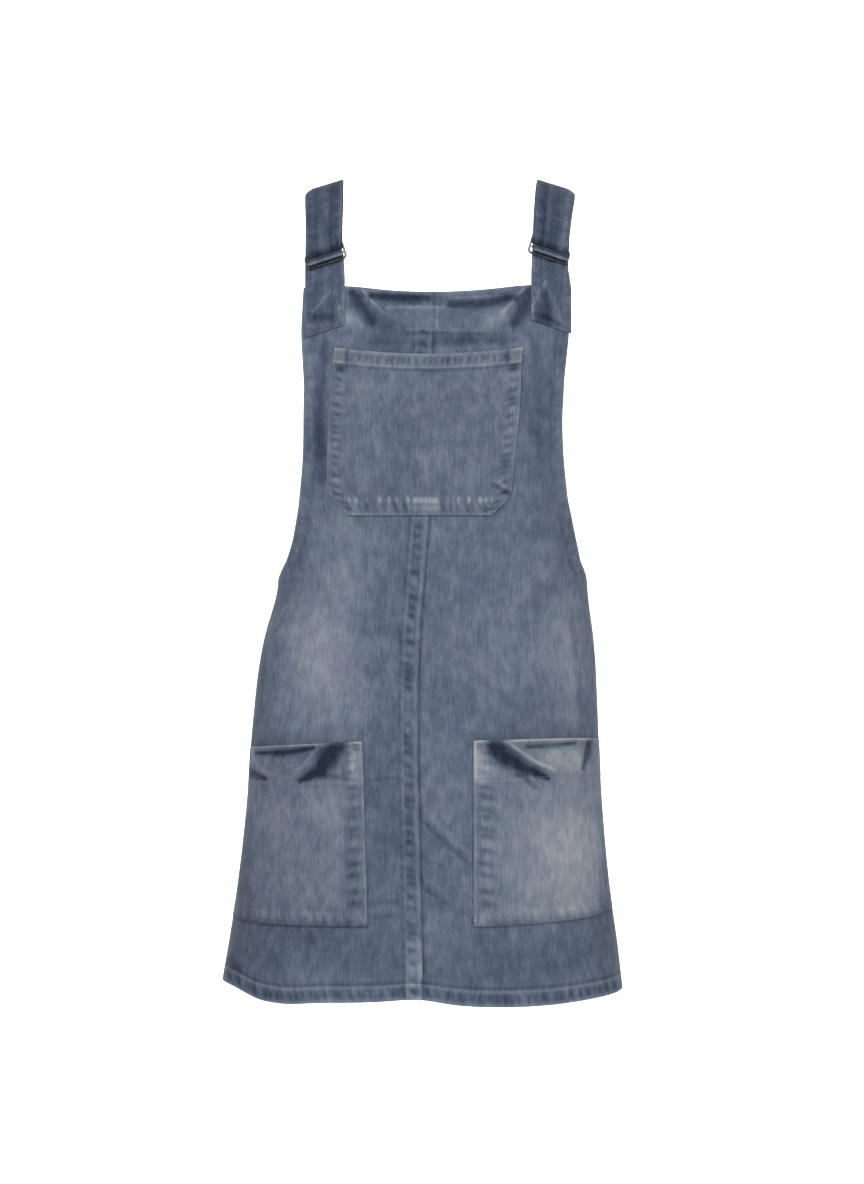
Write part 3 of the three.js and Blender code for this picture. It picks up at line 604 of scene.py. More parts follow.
def front_face(angle, level):
    """The front's outer face: points, normals, lift, tone and wear, with its folds and puckers in, and
    painted shade and highlight in the tone.
    """
    flat, _ = body(angle, level, -1)
    level = level + 0 * angle
    z = hem_height(level, flat[..., 0])
    points, normals = body(angle, z, -1)
    x = points[..., 0]
    seam = read(front_lines, "seam", z)
    edge, hem, under_neck = edge_distance(x, z), level - HEM, NECK - level
    aside, turned = side_seam(x, z, angle)
    between_tabs, slack_band = within(x, -98, 90, 8), within(x, -46, 58, 16, 20)
    on_band = smooth((NECK_BAND - under_neck) / 1.5)
    foot = x - seam + FELL_WIDTH
    over = x < seam

    neck, neck_shade = folded(neck_folds, x, z)
    bib, bib_shade = folded(bib_folds, x, z)
    skirt, skirt_shade = folded(skirt_folds, x, z)
    ropes = (1.1 * puckers(z, foot - 6.5, 11, 4, 11) + 0.3 * puckers(z, foot, 9, 3, 17)) * (1 - on_band)
    ropes += 1.05 * puckers(x, hem - 8, 8, 5, 23) + 0.35 * puckers(z, edge - 7, 9, 4, 31)
    ropes += 0.3 * puckers(x, NECK_BAND - 5 - under_neck, 9, 5, 29) * between_tabs
    ropes += 0.3 * puckers(x, 9 - under_neck, 8, 4, 30) * between_tabs
    slack = 0.9 * mottle(x, z, 60, 5) + 0.35 * mottle(x, z * 1.4, 24, 6)
    lift = neck * between_tabs + bib + skirt + 0.7 * on_band * within(x, -96, 88, 40)
    lift += FELL_RAISE * smooth((foot + 1.2) / 1.2) * over * (1 - 0.6 * on_band)
    lift = (lift + 0.7 * ropes + slack * smooth((-180 - z) / 60)) * smooth(aside / 0.15)

    dark, pale = roped(ropes)
    # The folds' painted shade and highlight, the puckers' dark and the painted shade at the sides.
    tone = 1.2 * (neck_shade * within(x, -110, 98, 8) + bib_shade + skirt_shade) + dark + turned
    tone += blobs(worn_front, x, z) + washed(x, z, 7)
    # Paler over the armhole hem, and a line of painted shade in the groove just inside it.
    tone += 0.12 * band(edge - 5, 5) - 0.35 * band(edge - 13, 3)
    # Painted shadow of the fell's edge on the right panel, and painted shade in the groove at the fell's
    # foot.
    tone -= 0.7 * band(x - seam - 1.2, 1.6) * (x > seam) + 0.35 * band(foot + 2, 1.8)
    tone -= 0.2 * smooth(foot / 3) * over
    # A line of painted shade in the groove over the hem band, and a darker hem band.
    tone -= 0.75 * band(hem - HEM_DEPTH - 2.5, 2) + 0.3 * band(hem - 7, 6)
    # A line of painted shade under the neckline band.
    tone -= 0.6 * band(NECK_BAND + 3 - under_neck, 2.5) * (0.15 + 0.85 * slack_band)
    seam_line = (0.6 + 0.25 * drift(z, 26, 37)) * band(x - seam + 3, 1.3) * over
    wear = pale + seam_line * (1 - 0.8 * on_band) + 0.35 * band(foot - 0.5, 1.4) * (1 - on_band)
    wear += 0.7 * band(hem, 3) + 0.75 * band(hem - HEM_DEPTH, 1.8) + 0.5 * band(edge, 2)
    wear += 0.35 * band(under_neck, 2) + 0.45 * band(NECK_BAND - under_neck, 1.6) * slack_band
    # The seam ends in a stitched patch on the neckline's band, and wears pale again above the hem.
    patch = within(x - seam, -28, 7, 2) * smooth((-131 - z) / 2) * on_band
    wear += 0.4 * patch + 0.7 * band(z + 134, 2) * within(x, -58, 6, 4)
    wear += 0.5 * within(x, -58, -30, 6) * band(z + 142, 7)
    wear += 0.9 * smooth((-768 - z) / 10) * smooth(foot / 2) * over * (0.8 + 0.4 * mottle(x, z, 8, 39))
    return points, normals, lift, tone, wear


def spread(values, counts):
    """Steps from each value to the next, so many in each stretch."""
    parts = [np.linspace(a, b, n, endpoint=False) for a, b, n in zip(values, values[1:], counts)]
    return np.concatenate([*parts, values[-1:]])


def front_panel(side):
    """Grid of one front panel from its side edge to the centre seam."""
    levels = spread([NECK, -170, -340, -420, -813, -820, HEM], [44, 74, 40, 176, 4, 9])[:, None]
    key = "left" if side < 0 else "right"
    edge_x = np.where(levels > ARMHOLE_BASE, read(armholes, key, levels), side * 1000)
    seam = read(front_lines, "seam", levels)
    if side < 0:
        lines = [edge_x, seam - FELL_WIDTH - 1.2, seam - FELL_WIDTH, seam - SEAM_HALF_GAP]
        counts = [88, 2, 10]
    else:
        lines = [edge_x, seam + 12, seam + SEAM_HALF_GAP]
        counts = [84, 8]
    angles = [angle_at(x, levels) for x in lines]
    parts = [a + (b - a) * np.arange(n) / n for a, b, n in zip(angles, angles[1:], counts)]
    angle = np.concatenate(parts + [angles[-1]], 1)
    points, normals, lift, tone, wear = front_face(angle, levels)
    return points, normals, lift - hemmed(levels - HEM), lift, tone, wear


def along_edge(side, inset, top, bottom):
    """Places on the bib a set distance in from its armhole edge."""
    levels = np.linspace(top, bottom, 40)
    return list(zip(read(armholes, "left" if side < 0 else "right", levels) - side * inset, levels))


def across_level(drop, start, end):
    """Places on a line a set distance under the neckline."""
    return [(x, float(read(neckline, "z", x, "x")) - drop) for x in np.linspace(start, end, 30)]


def hem_line(up, start, end):
    """Places on a line a set distance over the hem."""
    xs = np.linspace(start, end, 60)
    return list(zip(xs, hem_height(HEM + up + 0 * xs, xs)))


def beside_seam(offset, top, bottom):
    """Places on a line beside the centre seam."""
    levels = np.linspace(top, bottom, 60)
    return list(zip(read(front_lines, "seam", levels) + offset, levels))


front_lines_sewn = {
    "left": [
        beside_seam(-2.6, -160, -834),
        beside_seam(-FELL_WIDTH + 2.4, -160, -834),
        along_edge(-1, 2.2, -118, -408),
        along_edge(-1, ARMHOLE_HEM, -160, -404),
        across_level(2.4, -97, -9),
        across_level(NECK_BAND - 1.5, -48, -9),
        hem_line(HEM_DEPTH - 1, -222, -20),
        [(-35, -134), (-35, -157)],
        [(-35, -134), (-9, -134.5)],
    ],
    "right": [
        along_edge(1, 2.2, -118, -408),
        along_edge(1, ARMHOLE_HEM, -160, -404),
        across_level(2.4, -6, 90),
        across_level(8, -6, 76),
        across_level(NECK_BAND - 1.5, -6, 56),
        hem_line(HEM_DEPTH - 1, -14, 184),
        [(0, -134), (0, -157)],
    ],
}
for side, key in ((-1, "left"), (1, "right")):
    name = f"front_{key}_cloth"
    piece, face = cloth(name, front_panel(side), 0.3, panel_denim, f"front_panel_{key}", "denim")
    lines = [sewn_at(face, path) for path in front_lines_sewn[key]]
    thread = sew(f"front_{key}_topstitching", lines)

# Back panel
# One piece of the same denim, cut out at the armholes, with a plain turned top edge and hem.
worn_back = table(
    "x z wide high amount",
    (-90, -560, 60, 80, 0.4),
    (60, -570, 60, 80, 0.45),
    (-20, -300, 90, 60, 0.2),
    (-20, -470, 150, 24, -0.25),
)
back_flutes = table("x spread height", (-120, 26, 4), (-38, 22, -3.5), (44, 28, 4.5), (118, 20, -3))
# Drag folds, each as height in mm, painted shade or painted highlight, crispness and a path, as on the
# front.
back_folds = [
    (3.4, 0.2, 2, [(-120, -425, 6), (-40, -440, 9)]),
    (-2.6, -0.4, 2, [(-128, -445, 5), (-60, -462, 8)]),
    (3.0, 0.2, 2, [(95, -428, 6), (30, -442, 9)]),
    (-2.6, -0.4, 2, [(110, -450, 5), (40, -468, 8)]),
    (2.6, 0.1, 2, [(-60, -180, 8), (-20, -215, 14)]),
    (2.6, 0.1, 2, [(50, -176, 8), (20, -220, 14)]),
    (-2.0, -0.3, 2, [(-74, -196, 6), (-38, -236, 9)]),
    (-1.2, -0.25, 2, [(-112, -300, 5), (-100, -380, 8)]),
    (-1.2, -0.25, 2, [(104, -290, 5), (92, -372, 8)]),
    (-0.9, -0.3, 2, [(-40, -610, 2), (-8, -640, 2.4), (14, -652, 2)]),
    (-0.9, -0.3, 2, [(60, -700, 2), (96, -728, 2.4)]),
]
BACK_TOP = -132
BACK_TOP_HEM = 26
BACK_EDGE_EXTRA = 4


def back_grid():
    """The back's grid with its flutes, drag folds, hems and puckers."""
    levels = spread([BACK_TOP, -400, -420, -813, -820, HEM], [70, 8, 104, 4, 8])[:, None]
    open_side = levels > ARMHOLE_BASE
    extra = BACK_EDGE_EXTRA * smooth((levels - ARMHOLE_BASE - 4) / 50)
    start = np.where(open_side, angle_at(read(armholes, "left", levels) - extra, levels), math.pi)
    end = np.where(open_side, angle_at(read(armholes, "right", levels) + extra, levels), 0)
    angle = start + (end - start) * np.linspace(0, 1, 141)
    points, _ = body(angle, levels + 0 * angle, 1)
    points, normals = body(angle, levels + hem_corner(points[..., 0], levels), 1)
    points[..., 1] = np.maximum(points[..., 1], SEAM_HALF_GAP)
    x, z = points[..., 0], points[..., 2]
    hem, under_top = levels - HEM + 0 * x, BACK_TOP - z
    edge = edge_distance(x, z) + BACK_EDGE_EXTRA
    aside, turned = side_seam(x, z, angle)

    flute = 0
    for centre, wide, height in zip(back_flutes["x"], back_flutes["spread"], back_flutes["height"]):
        flute = flute + height * band(x - centre, wide)
    folds, shade = folded(back_folds, x, z)
    ropes = 0.75 * puckers(x, hem - 8, 9, 5, 43) + 0.5 * puckers(x, under_top - 20, 9, 5, 47)
    ropes += 0.35 * puckers(z, edge - 7, 9, 4, 49)
    slack = 1.1 * mottle(x, z, 55, 15) + 0.4 * mottle(x, z * 1.4, 24, 16)
    lift = folds + flute * smooth((-480 - z) / 357) + 0.7 * ropes + slack * smooth((under_top - 20) / 40)
    lift = lift * smooth(aside / 0.15)

    dark, pale = roped(ropes)
    # The folds' painted shade and highlight, the puckers' dark and the painted shade at the sides.
    tone = blobs(worn_back, x, z) + 1.2 * shade + dark + turned + washed(x, z, 17)
    # Paler over the armhole hems, and a line of painted shade in the groove just inside them.
    tone += 0.3 * band(edge - 5, 5) - 0.35 * band(edge - 13, 3)
    # Lines of painted shade over the hem band and under the top hem band.
    tone -= 0.75 * band(hem - HEM_DEPTH - 2.5, 2) + 0.7 * band(under_top - BACK_TOP_HEM - 2.5, 2)
    wear = pale + 0.5 * (band(hem, 2) + band(under_top, 2) + band(edge, 2))
    wear += 0.75 * band(hem - HEM_DEPTH, 1.8) + 0.5 * band(under_top - BACK_TOP_HEM, 1.8)
    return points, normals, lift - hemmed(hem), lift, tone, wear


piece, face = cloth("back_cloth", back_grid(), 0.3, panel_denim, "back_panel", "denim")
back_lines = [
    [(-130, BACK_TOP - BACK_TOP_HEM + 1), (128, BACK_TOP - BACK_TOP_HEM + 1)],
    [(-140, BACK_TOP - 3), (134, BACK_TOP - 3)],
    [(x, HEM + HEM_DEPTH - 1 + hem_corner(x, HEM + HEM_DEPTH)) for x in np.linspace(-220, 185, 60)],
    [(x - 1.8, z) for x, z in along_edge(-1, 0, -134, -408)],
    [(x + 1.8, z) for x, z in along_edge(1, 0, -134, -408)],
    along_edge(-1, ARMHOLE_HEM - 4, -160, -404),
    along_edge(1, ARMHOLE_HEM - 4, -160, -404),
]
thread = sew("back_topstitching", [sewn_at(face, path) for path in back_lines])

# Bib pocket
# A patch pocket over the centre seam: a turned top hem, cut lower corners and two rows of topstitching.
# It is folded and pressed at its edges, which rub pale.
POCKET_GAP = 0.3
POCKET_WALL = 1.6
BAND_EXTRA = 0.8
pocket_denim = washed_denim(
    "washed indigo denim, pocket cut",
    [(0.0, "#202C3F"), (1.0, "#B8BABD"), (0.25, "#485468"), (0.5, "#6B768A"), (0.75, "#9199A6")],
    (3.1, 0, 1.7),
    0.36,
)
BIB_TOP, BIB_SAG, BIB_BOTTOM, BIB_CORNER = -175.5, 7.5, -346, -322
CHAMFER_LEFT, CHAMFER_RIGHT = 21, 18
BIB_BAND, BIB_DEEP = 13, 168
# A small crease: painted shade along it and a painted highlight just over it.
pocket_crease = [
    (0, -1.1, 2, [(52, -315, 2.2), (70, -325, 2)]),
    (0, 0.8, 2, [(57, -312, 1.6), (71, -320, 1.6)]),
]


def pocket_edges(u, v, wide, high):
    """Distances in mm from a pocket's left, right, bottom and top edges, at every place of its grid."""
    flat = 0 * u * v
    return u * wide, (1 - u) * wide, (1 - v) * high + flat, v * high + flat


def mix(a, b, t):
    return a + (b - a) * t


def bib_pocket():
    """The bib pocket's grid, over the front's own folds."""
    v = spread([0, BIB_BAND, BIB_BAND + 1.5, BIB_DEEP], [8, 2, 80])[:, None] / BIB_DEEP
    u = np.linspace(0, 1, 97)[None, :]
    z_side = BIB_TOP + (BIB_BOTTOM - BIB_TOP) * v
    start = BIB_CORNER + 7
    corner_left = np.clip((start - z_side) / (start - BIB_BOTTOM), 0, 1) ** 1.5
    corner_right = np.clip((BIB_CORNER - z_side) / (BIB_CORNER - BIB_BOTTOM), 0, 1) ** 1.4
    bowed = 3 * smooth(v / 0.4)
    x_left = read(front_lines, "left_pocket", z_side) - bowed + CHAMFER_LEFT * corner_left
    x_right = read(front_lines, "right_pocket", z_side) + bowed - CHAMFER_RIGHT * corner_right
    x = x_left + (x_right - x_left) * u
    z = z_side - BIB_SAG * (1 - (2 * u - 1) ** 2) * smooth((1 - v) / 0.8)
    points, normals, panel_lift, _, _ = front_face(angle_at(x, z), z)
    left, right, bottom, top = pocket_edges(u, v, x_right - x_left, BIB_DEEP)
    on_body, centre_bar = smooth((top - BIB_BAND - 3) / 4), within(x, -29, -1, 2)

    ropes = 1.15 * (puckers(z, left - 8, 8, 4.5, 61) + puckers(z, right - 8, 8, 4.5, 67)) * on_body
    at_bottom = smooth((left - 6) / 8) * smooth((right - 6) / 8) * (1 - 0.8 * centre_bar)
    ropes += 1.1 * puckers(x, bottom - 8, 8, 5, 71) * at_bottom
    ropes += 1.1 * puckers(x, top - 7, 6.4, 3.5, 73) * smooth((left - 12) / 3) * smooth((right - 12) / 3)
    puff = (1.2 * np.sin(math.pi * v) + 1.3 * band(top - 2, 9)) * np.sin(math.pi * u)
    lift = panel_lift + POCKET_GAP + 0.4 + 0.6 * (ropes + 0.65) + puff + 0.35 * mottle(x, z, 30, 81)
    thick = POCKET_WALL + BAND_EXTRA * smooth((BIB_BAND + 1 - top) / 1.5)

    dark, pale = roped(ropes)
    under_corner = band(top - 19, 3) * (band(left - 8, 7) + band(right - 8, 7))
    beside_bar = smooth((15 - top) / 2) * (band(left - 13, 2) + band(right - 15, 2))
    # A line of painted shade under the top hem band, and darker places under the corners and beside the
    # bars.
    tone = dark - 0.9 * band(top - BIB_BAND - 2.6, 1.4) - 1.3 * under_corner - 1.1 * beside_bar
    tone += 0.22 * mottle(x, z, 40, 83) + 0.12 * mottle(x, z, 12, 84) + folded(pocket_crease, x, z)[1]
    wear = pale + 0.7 * band(top - 0.5, 2) + 0.7 * band(top - BIB_BAND, 1.5)
    wear += 0.45 * (band(left, 1.8) + band(right, 1.8) + band(bottom, 1.8))
    wear += 0.45 * smooth((15 - top) / 2) * (smooth((11 - left) / 2) + smooth((13 - right) / 2))
    wear += centre_bar * (1.5 * band(bottom - 14.5, 3) + 0.9 * band(bottom - 6.5, 3))
    flecks = np.maximum(-puckers(x, 0 * x, 9, 5, 77) - 0.2, 0) * smooth((left - 8) / 6)
    wear += 4.4 * flecks * band(bottom - 15, 3) * smooth((right - 6) / 6) * (1 - centre_bar)
    flecks = np.maximum(-puckers(z, 0 * x, 12, 5, 79) - 0.35, 0) * on_body
    wear += 1.3 * flecks * (band(left - 12, 2.2) + band(right - 14, 2.2))
    return points, normals, lift, lift + thick, tone, wear


piece, face = cloth("bib_pocket_cloth", bib_pocket(), 0.6, pocket_denim, "bib_pocket", "denim_pocket")
bib_lines = runs(
    face,
    (2, 2, 0, -0.001),
    (7.4, 7.4, 0, -0.001),
    (10, -1, 1.3, 1.3),
    (10, -8, 7.8, 7.8),
    (10, -1, -1.3, -1.3),
    (10, -8, -7.8, -7.8),
    (-1.3, -1.3, 1.5, -1.5),
    (-7.6, -7.6, 7.8, -7.8),
)
thread = sew("bib_pocket_topstitching", bib_lines)
TACK_TURNS, TACK_PITCH, TACK_LENGTH = 14, 1.7, 1.8
turns = np.arange(TACK_TURNS)
tack_rows = np.where(turns % 2, 0.8, 7.0)
bar_lines = [
    sample(face, tack_rows, 0.8 + 0.32 * turns),
    sample(face, tack_rows, face[0].shape[1] - 2 - 0.34 * turns),
]
bars = sew("bib_pocket_bartacks", bar_lines, bar_thread, TACK_PITCH, TACK_LENGTH)

# Hip pockets
# Large patch pockets with 40 mm turned hems, caught in the side seams. Their slack mouths have sagged:
# a taut pale rim, worn and with a painted highlight, a fold in under it darkened with painted shade, and the
# hem bulging out below, with a painted highlight on it and painted shadow under it.
HIP_BAND = 40
hip_lines = {
    "left": {
        "column": "left_pocket", "inside": 0.45, "fold": (75.5, 84.5),
        "top": (-588, -575.5), "bottom": (-763, -760), "bow": 0,
    },
    "right": {
        "column": "right_pocket", "inside": 0.1, "fold": (76, 86.5),
        "top": (-579.5, -574.5), "bottom": (-752.6, -760), "bow": 3.2,
    },
}
# The mouths' folds, each as height in mm, painted shade or painted highlight, crispness and a path.
mouth_folds = {
    "left": [
        (3.2, 0.75, 2, [(-192, -582.5, 2), (-125, -578, 2), (-108, -576, 2)]),
        (-3.2, -1.8, 2, [(-184, -590, 1.5), (-156, -588, 3.6), (-126, -582, 1.5)]),
        (6.0, 0.15, 2, [(-165, -599, 9), (-150, -602, 9)]),
        (2.0, 0.45, 2, [(-188, -588, 2.5), (-184, -600, 2.5), (-168, -610, 2.5), (-150, -614, 2)]),
        (4.5, 0.55, 2, [(-122, -583, 2.5), (-146, -612, 2.5)]),
        (-3.5, -2.3, 2.8, [(-102.5, -576, 9), (-112.5, -592, 10.5), (-121, -605, 7.5), (-141, -616.5, 2.2)]),
        (-0.5, -0.8, 2, [(-120, -609, 3), (-84, -614, 3)]),
        (-2.5, -1.9, 3, [(-197, -610, 7), (-188, -612, 5.2), (-175.5, -615.5, 2)]),
        (1.0, 0.7, 2, [(-88, -580, 3.5), (-88, -603, 4)]),
        (0.4, -0.5, 2, [(-84, -577, 2), (-84, -592, 2)]),
    ],
    "right": [
        (3.2, 0.9, 2, [(72, -574.5, 2), (108, -572.8, 2.8), (150, -574.5, 2.4)]),
        (-2.6, -1.5, 2, [(86, -581, 1.2), (108, -580.5, 2.8), (134, -578.5, 1.5)]),
        (6.0, 0.25, 2, [(108, -594, 10), (126, -596, 10)]),
        (0.0, 0.85, 3, [(112, -586, 14), (130, -596, 15)]),
        (4.5, 1.2, 2, [(65, -576, 2.2), (78, -585, 2.6), (92, -595.5, 2.8), (111, -605, 2.6)]),
        (-3.5, -2.5, 2.8, [(53.5, -577, 9), (64, -590.5, 10), (80, -600.5, 7.5), (108, -613, 2.4)]),
        (-1.2, -1.2, 2, [(76, -609, 2), (85, -612, 3), (95, -622, 2.4)]),
        (-2.5, -1.8, 2.5, [(150, -578, 3.5), (147, -591, 3.8), (143, -605, 2)]),
        (1.0, 0.6, 2, [(46, -604, 4.5), (54, -607, 4)]),
        (0.4, 0.9, 2, [(34, -578, 3), (35, -610, 2.6)]),
    ],
}
# Patches on the hip pockets: pale worn places, and painted shade down the outer sides where the pockets turn
# away.
hip_wear_and_side_shade = table(
    "x z wide high amount",
    (138, -712, 38, 76, 1.15),
    (80, -680, 60, 95, 0.62),
    (115, -640, 45, 30, 0.3),
    (-100, -655, 20, 50, 0.6),
    (-140, -690, 50, 60, 0.25),
    (-205, -690, 14, 90, -1.1),
    (172, -700, 9, 90, -1.3),
)
HIP_DEEP, HIP_WIDE = 185, 165


def hip_pocket(key):
    """One hip pocket's grid, caught in the side seam at its outer edge."""
    lines = hip_lines[key]
    v = spread([0, HIP_BAND, HIP_BAND + 1.5, HIP_DEEP], [30, 2, 74])[:, None] / HIP_DEEP
    u = np.linspace(0, 1, 91)[None, :]
    top = mix(*lines["top"], u) + lines["bow"] * np.sin(math.pi * u)
    z = mix(top, mix(*lines["bottom"], u), v)
    inner_angle = angle_at(read(front_lines, lines["column"], z), z)
    edge_angle = math.pi if key == "left" else 0
    points, normals, panel_lift, _, _ = front_face(mix(edge_angle, inner_angle, u), z)
    x = points[..., 0]
    _, right, low, high = pocket_edges(u, v, HIP_WIDE, HIP_DEEP)
    on_body, in_corner = smooth((high - HIP_BAND - 2) / 4), smooth((u - 0.55) / 0.2)

    # The mouth sags freely between the seam that catches it and its sewn inner edge.
    held = smooth((u - 0.08) / 0.42) * smooth((1 - u) / 0.1)
    caught = smooth(u * HIP_WIDE / 48)
    folds, shade = folded(mouth_folds[key], x, z)
    ropes = 0.85 * puckers(z, right - 8, 11, 5, 91) + 0.6 * puckers(x, low - 8, 9, 5, 97) * on_body
    ropes += 0.2 * puckers(x, high - HIP_BAND + 4, 8, 4, 101)
    puff = np.sin(math.pi * u) * np.sin(math.pi * v)
    slack = 2.5 * held * np.exp(-((high / 34) ** 4))
    lift = panel_lift + POCKET_GAP + 0.4 + 0.6 * (ropes + 0.65) + puff + np.maximum(slack + folds * held, 0)
    lift = (lift + 0.4 * mottle(x, z, 30, 103)) * caught - 1.4 * (1 - caught)
    thick = POCKET_WALL + BAND_EXTRA * smooth((HIP_BAND + 1 - high) / 1.5) * caught

    dark, pale = roped(ropes)
    # The mouths' painted shade and highlight, fading out at the side seam, and the pockets' patches.
    tone = dark + shade * np.minimum(1, 12 * u) + blobs(hip_wear_and_side_shade, x, z)
    tone += 0.25 * mottle(x, z, 40, 107) + 0.14 * mottle(x, z, 12, 108)
    # A line of painted shade under the top hem band.
    tone -= 0.4 * band(high - HIP_BAND - 2.6, 1.6) * (0.15 + 0.6 * in_corner)
    tone -= lines["inside"] * band(right - 11, 5) * on_body
    tone -= 0.7 * band(low - 3.5, 1.8) * on_body * (0.6 + 0.4 * drift(x, 17, 109))
    tone -= 0.6 * band(low - 0.5, 2.2)
    wear = pale + 0.45 * band(right, 1.8) - 0.3 * band(low, 1.5)
    wear += 0.45 * band(low - 12, 2.5) * on_body * (0.6 + 0.4 * drift(x, 13, 113))
    wear += 0.65 * band(high - 0.5, 2.6) + 0.1 * band(high - HIP_BAND, 1.6) * in_corner
    wear += 0.8 * band(right - 4, 5) * (1 - on_body) + band(right - 6, 6) * band(low - 6, 5)
    return points, normals, lift, lift + thick, tone, wear


for key, lines in hip_lines.items():
    name = f"hip_pocket_{key}"
    piece, face = cloth(f"{name}_cloth", hip_pocket(key), 0.6, pocket_denim, name, "denim_pocket")
    # The top row stops where the mouth's fold hides it.
    hip_rows = runs(
        face,
        (1.6, 1.6, 1, lines["fold"][0]),
        (1.6, 1.6, lines["fold"][1], -1),
        (28.6, 28.6, 1, -1),
        (2, -1.3, -1.3, -1.3),
        (31, -7, -6.6, -6.6),
        (-1.3, -1.3, 1, -1.3),
        (-6.6, -6.6, 1, -6.6),
    )
    thread = sew(f"{name}_topstitching", hip_rows)
    tack_columns = face[0].shape[1] - 1.8 - np.where(turns % 2, 0, 3.2)
    bar_line = [sample(face, 1.0 + 0.4 * turns, tack_columns)]
    bar = sew(f"{name}_bartack", bar_line, stitch_thread, TACK_PITCH, TACK_LENGTH)

# Straps and tabs
# Double denim straps come over the shoulders and turn back round the sliders' top bars.
# Short tabs are sewn on the bib's corners, pass behind the bottom bars and turn round the middle ones.
STRAP_WALL = 1.6
STRAP_ROLL, CREST_ROLL = 0.3, 0.3
TAB_CLEAR = 0.45
BEND_RADIUS = 2.4
TAIL_LENGTH, TAIL_START, TAIL_SPACING = 30, 3.8, 3.4
STRAP_HALF, SLIDER_CLOTH_HALF, BACK_END_HALF = 20.2, 18.6, 19
BAR_RISE, BAR_DROP = 6.8, 6.2
BACK_LAP = 26
DROOP = 3.5
STRIP_ACROSS = 25
straps = {
    "left": {
        "across": -1, "slider": (-117.5, -69, -81), "crest": -121, "back": -126.5, "tab": -118,
        "low": -157, "high": -108, "strap_slip": -2.4, "tab_slip": 0.8,
    },
    "right": {
        "across": 1, "slider": (111.5, -69, -75.5), "crest": 121.5, "back": 117.5, "tab": 113.5,
        "low": -152, "high": -105, "strap_slip": -2.4, "tab_slip": 2.2,
    },
}
# Streaks along the straps, each as place across from the inner edge (0 to 1), half width and tone.
strap_streaks = {
    "left": [(0.05, 0.06, 0.4), (0.28, 0.08, -0.55), (0.5, 0.1, 0.45), (0.85, 0.05, 0.3)],
    "right": [(0.02, 0.06, 0.2), (0.25, 0.06, -0.8), (0.52, 0.08, -0.2), (0.84, 0.12, 1.1)],
}
SLIDER_YAW = 0.24
strap_front = [(-66, -54, 0.2), (-59, -38, 0.4), (-49, -24, 0.6), (-36, -11.5, 0.8), (-19, -1.8, 0.95)]
strap_back = [
    (0, 2.2, 0), (20, -3, 0.15), (38, -15, 0.3), (54, -33, 0.5), (66, -56, 0.65), (74, -82, 0.8),
    (79, -108, 0.92),
]
strap_denim = washed_denim(
    "dark washed denim, strap",
    [(0.0, "#1A2331"), (1.0, "#9BA1AA"), (0.25, "#3A465B"), (0.5, "#566277"), (0.75, "#788294")],
    (0.7, 0, 4.1),
    0.5,
)


def unit(vector):
    return np.asarray(vector, float) / np.linalg.norm(vector)


def slider_axes(strap, slip=0.0):
    """A slider's directions, outward along its bars, up its face and out of it, and its middle."""
    along = unit((strap["across"], SLIDER_YAW, -STRAP_ROLL))
    out = unit((SLIDER_YAW * strap["across"], -1, 0))
    up = unit(np.cross(along, out) * -strap["across"])
    face = unit(np.cross(along, up) * strap["across"])
    return along, up, face, np.array(strap["slider"], float) + along * slip


def across_strip(centre, along, half, droop=0.0):
    """One row across a strap. Its outer edge droops where the strap lies on the shoulder."""
    share = np.linspace(-1, 1, STRIP_ACROSS)
    row = centre + along * half * share[:, None]
    row[:, 2] -= droop * np.clip((share - 0.45) / 0.55, 0, 1) ** 2.5
    return list(row)


def across_panel(strap, x, z, half, side, roll):
    """One row across a strap where it lies on a panel."""
    outward = np.linspace(-1, 1, STRIP_ACROSS) * half
    level = z - roll * outward
    points, normals = body(angle_at(x + strap["across"] * outward, level), level, side)
    return list(points + normals * (TAB_CLEAR + STRAP_WALL / 2))


def turn_round(axes, bar_up, start, end, steps):
    """Middles of the rows where the cloth turns round a bar."""
    _, up, face, centre = axes
    turns = np.radians(np.linspace(start, end, steps + 1))
    rise, reach = bar_up + BEND_RADIUS * np.cos(turns), BEND_RADIUS * np.sin(turns)
    return [centre + up * a + face * b for a, b in zip(rise, reach)]


def refine(strips, step):
    """The strip's rows again on smooth curves, about a step apart."""
    rows = np.array(strips)
    middle = rows[:, STRIP_ACROSS // 2]
    length = np.concatenate([[0], np.cumsum(np.linalg.norm(np.diff(middle, axis=0), axis=1))])
    at = np.unique(np.concatenate([np.linspace(0, length[-1], int(length[-1] / step) + 1), length]))
    fine = np.empty((len(at), STRIP_ACROSS, 3))
    for j in range(STRIP_ACROSS):
        for k in range(3):
            fine[:, j, k] = read({"z": length, "v": rows[:, j, k]}, "v", at)
    return fine, at


def strip_cloth(strips, seed, marks, streaks, base):
    """A strap's grid: puckers along its stitching, streaks along it, pale worn edges, and its marks' painted
    shade and highlight on the dress's front.
    """
    fine, at = refine(strips, 1.6)
    normals = np.cross(np.gradient(fine, axis=0), np.gradient(fine, axis=1))
    normals /= np.linalg.norm(normals, axis=-1, keepdims=True)
    if normals[len(normals) // 4, STRIP_ACROSS // 2, 1] > 0:
        normals = -normals
    u = np.linspace(0, 1, STRIP_ACROSS)[None, :]
    edge = np.minimum(u, 1 - u) * 40
    s = at[:, None] + 0 * u
    ropes = 0.5 * puckers(s, edge - 5, 8, 3, seed)
    streak = 0.3 * drift(u * 40 + 0.012 * s, 3.2, seed + 3) + 0.35 * mottle(u * 120, s, 24, seed + 4)
    for middle, half, amount in streaks:
        streak = streak + amount * band(u - middle - 0.03 * drift(s, 30, seed + 6), half)
    raised, shade = folded(marks, fine[..., 0], fine[..., 2])
    front = fine[..., 1] < -40
    dark, pale = roped(ropes)
    tone = base + dark + streak * (1 if base else 0.5) + 1.2 * shade * front
    wear = pale + 0.7 * band(edge, 2.4) * (0.7 + 0.3 * drift(s, 14, seed + 5))
    return fine, normals, -STRAP_WALL / 2, STRAP_WALL / 2 + 0.6 * ropes + raised * front, tone, wear


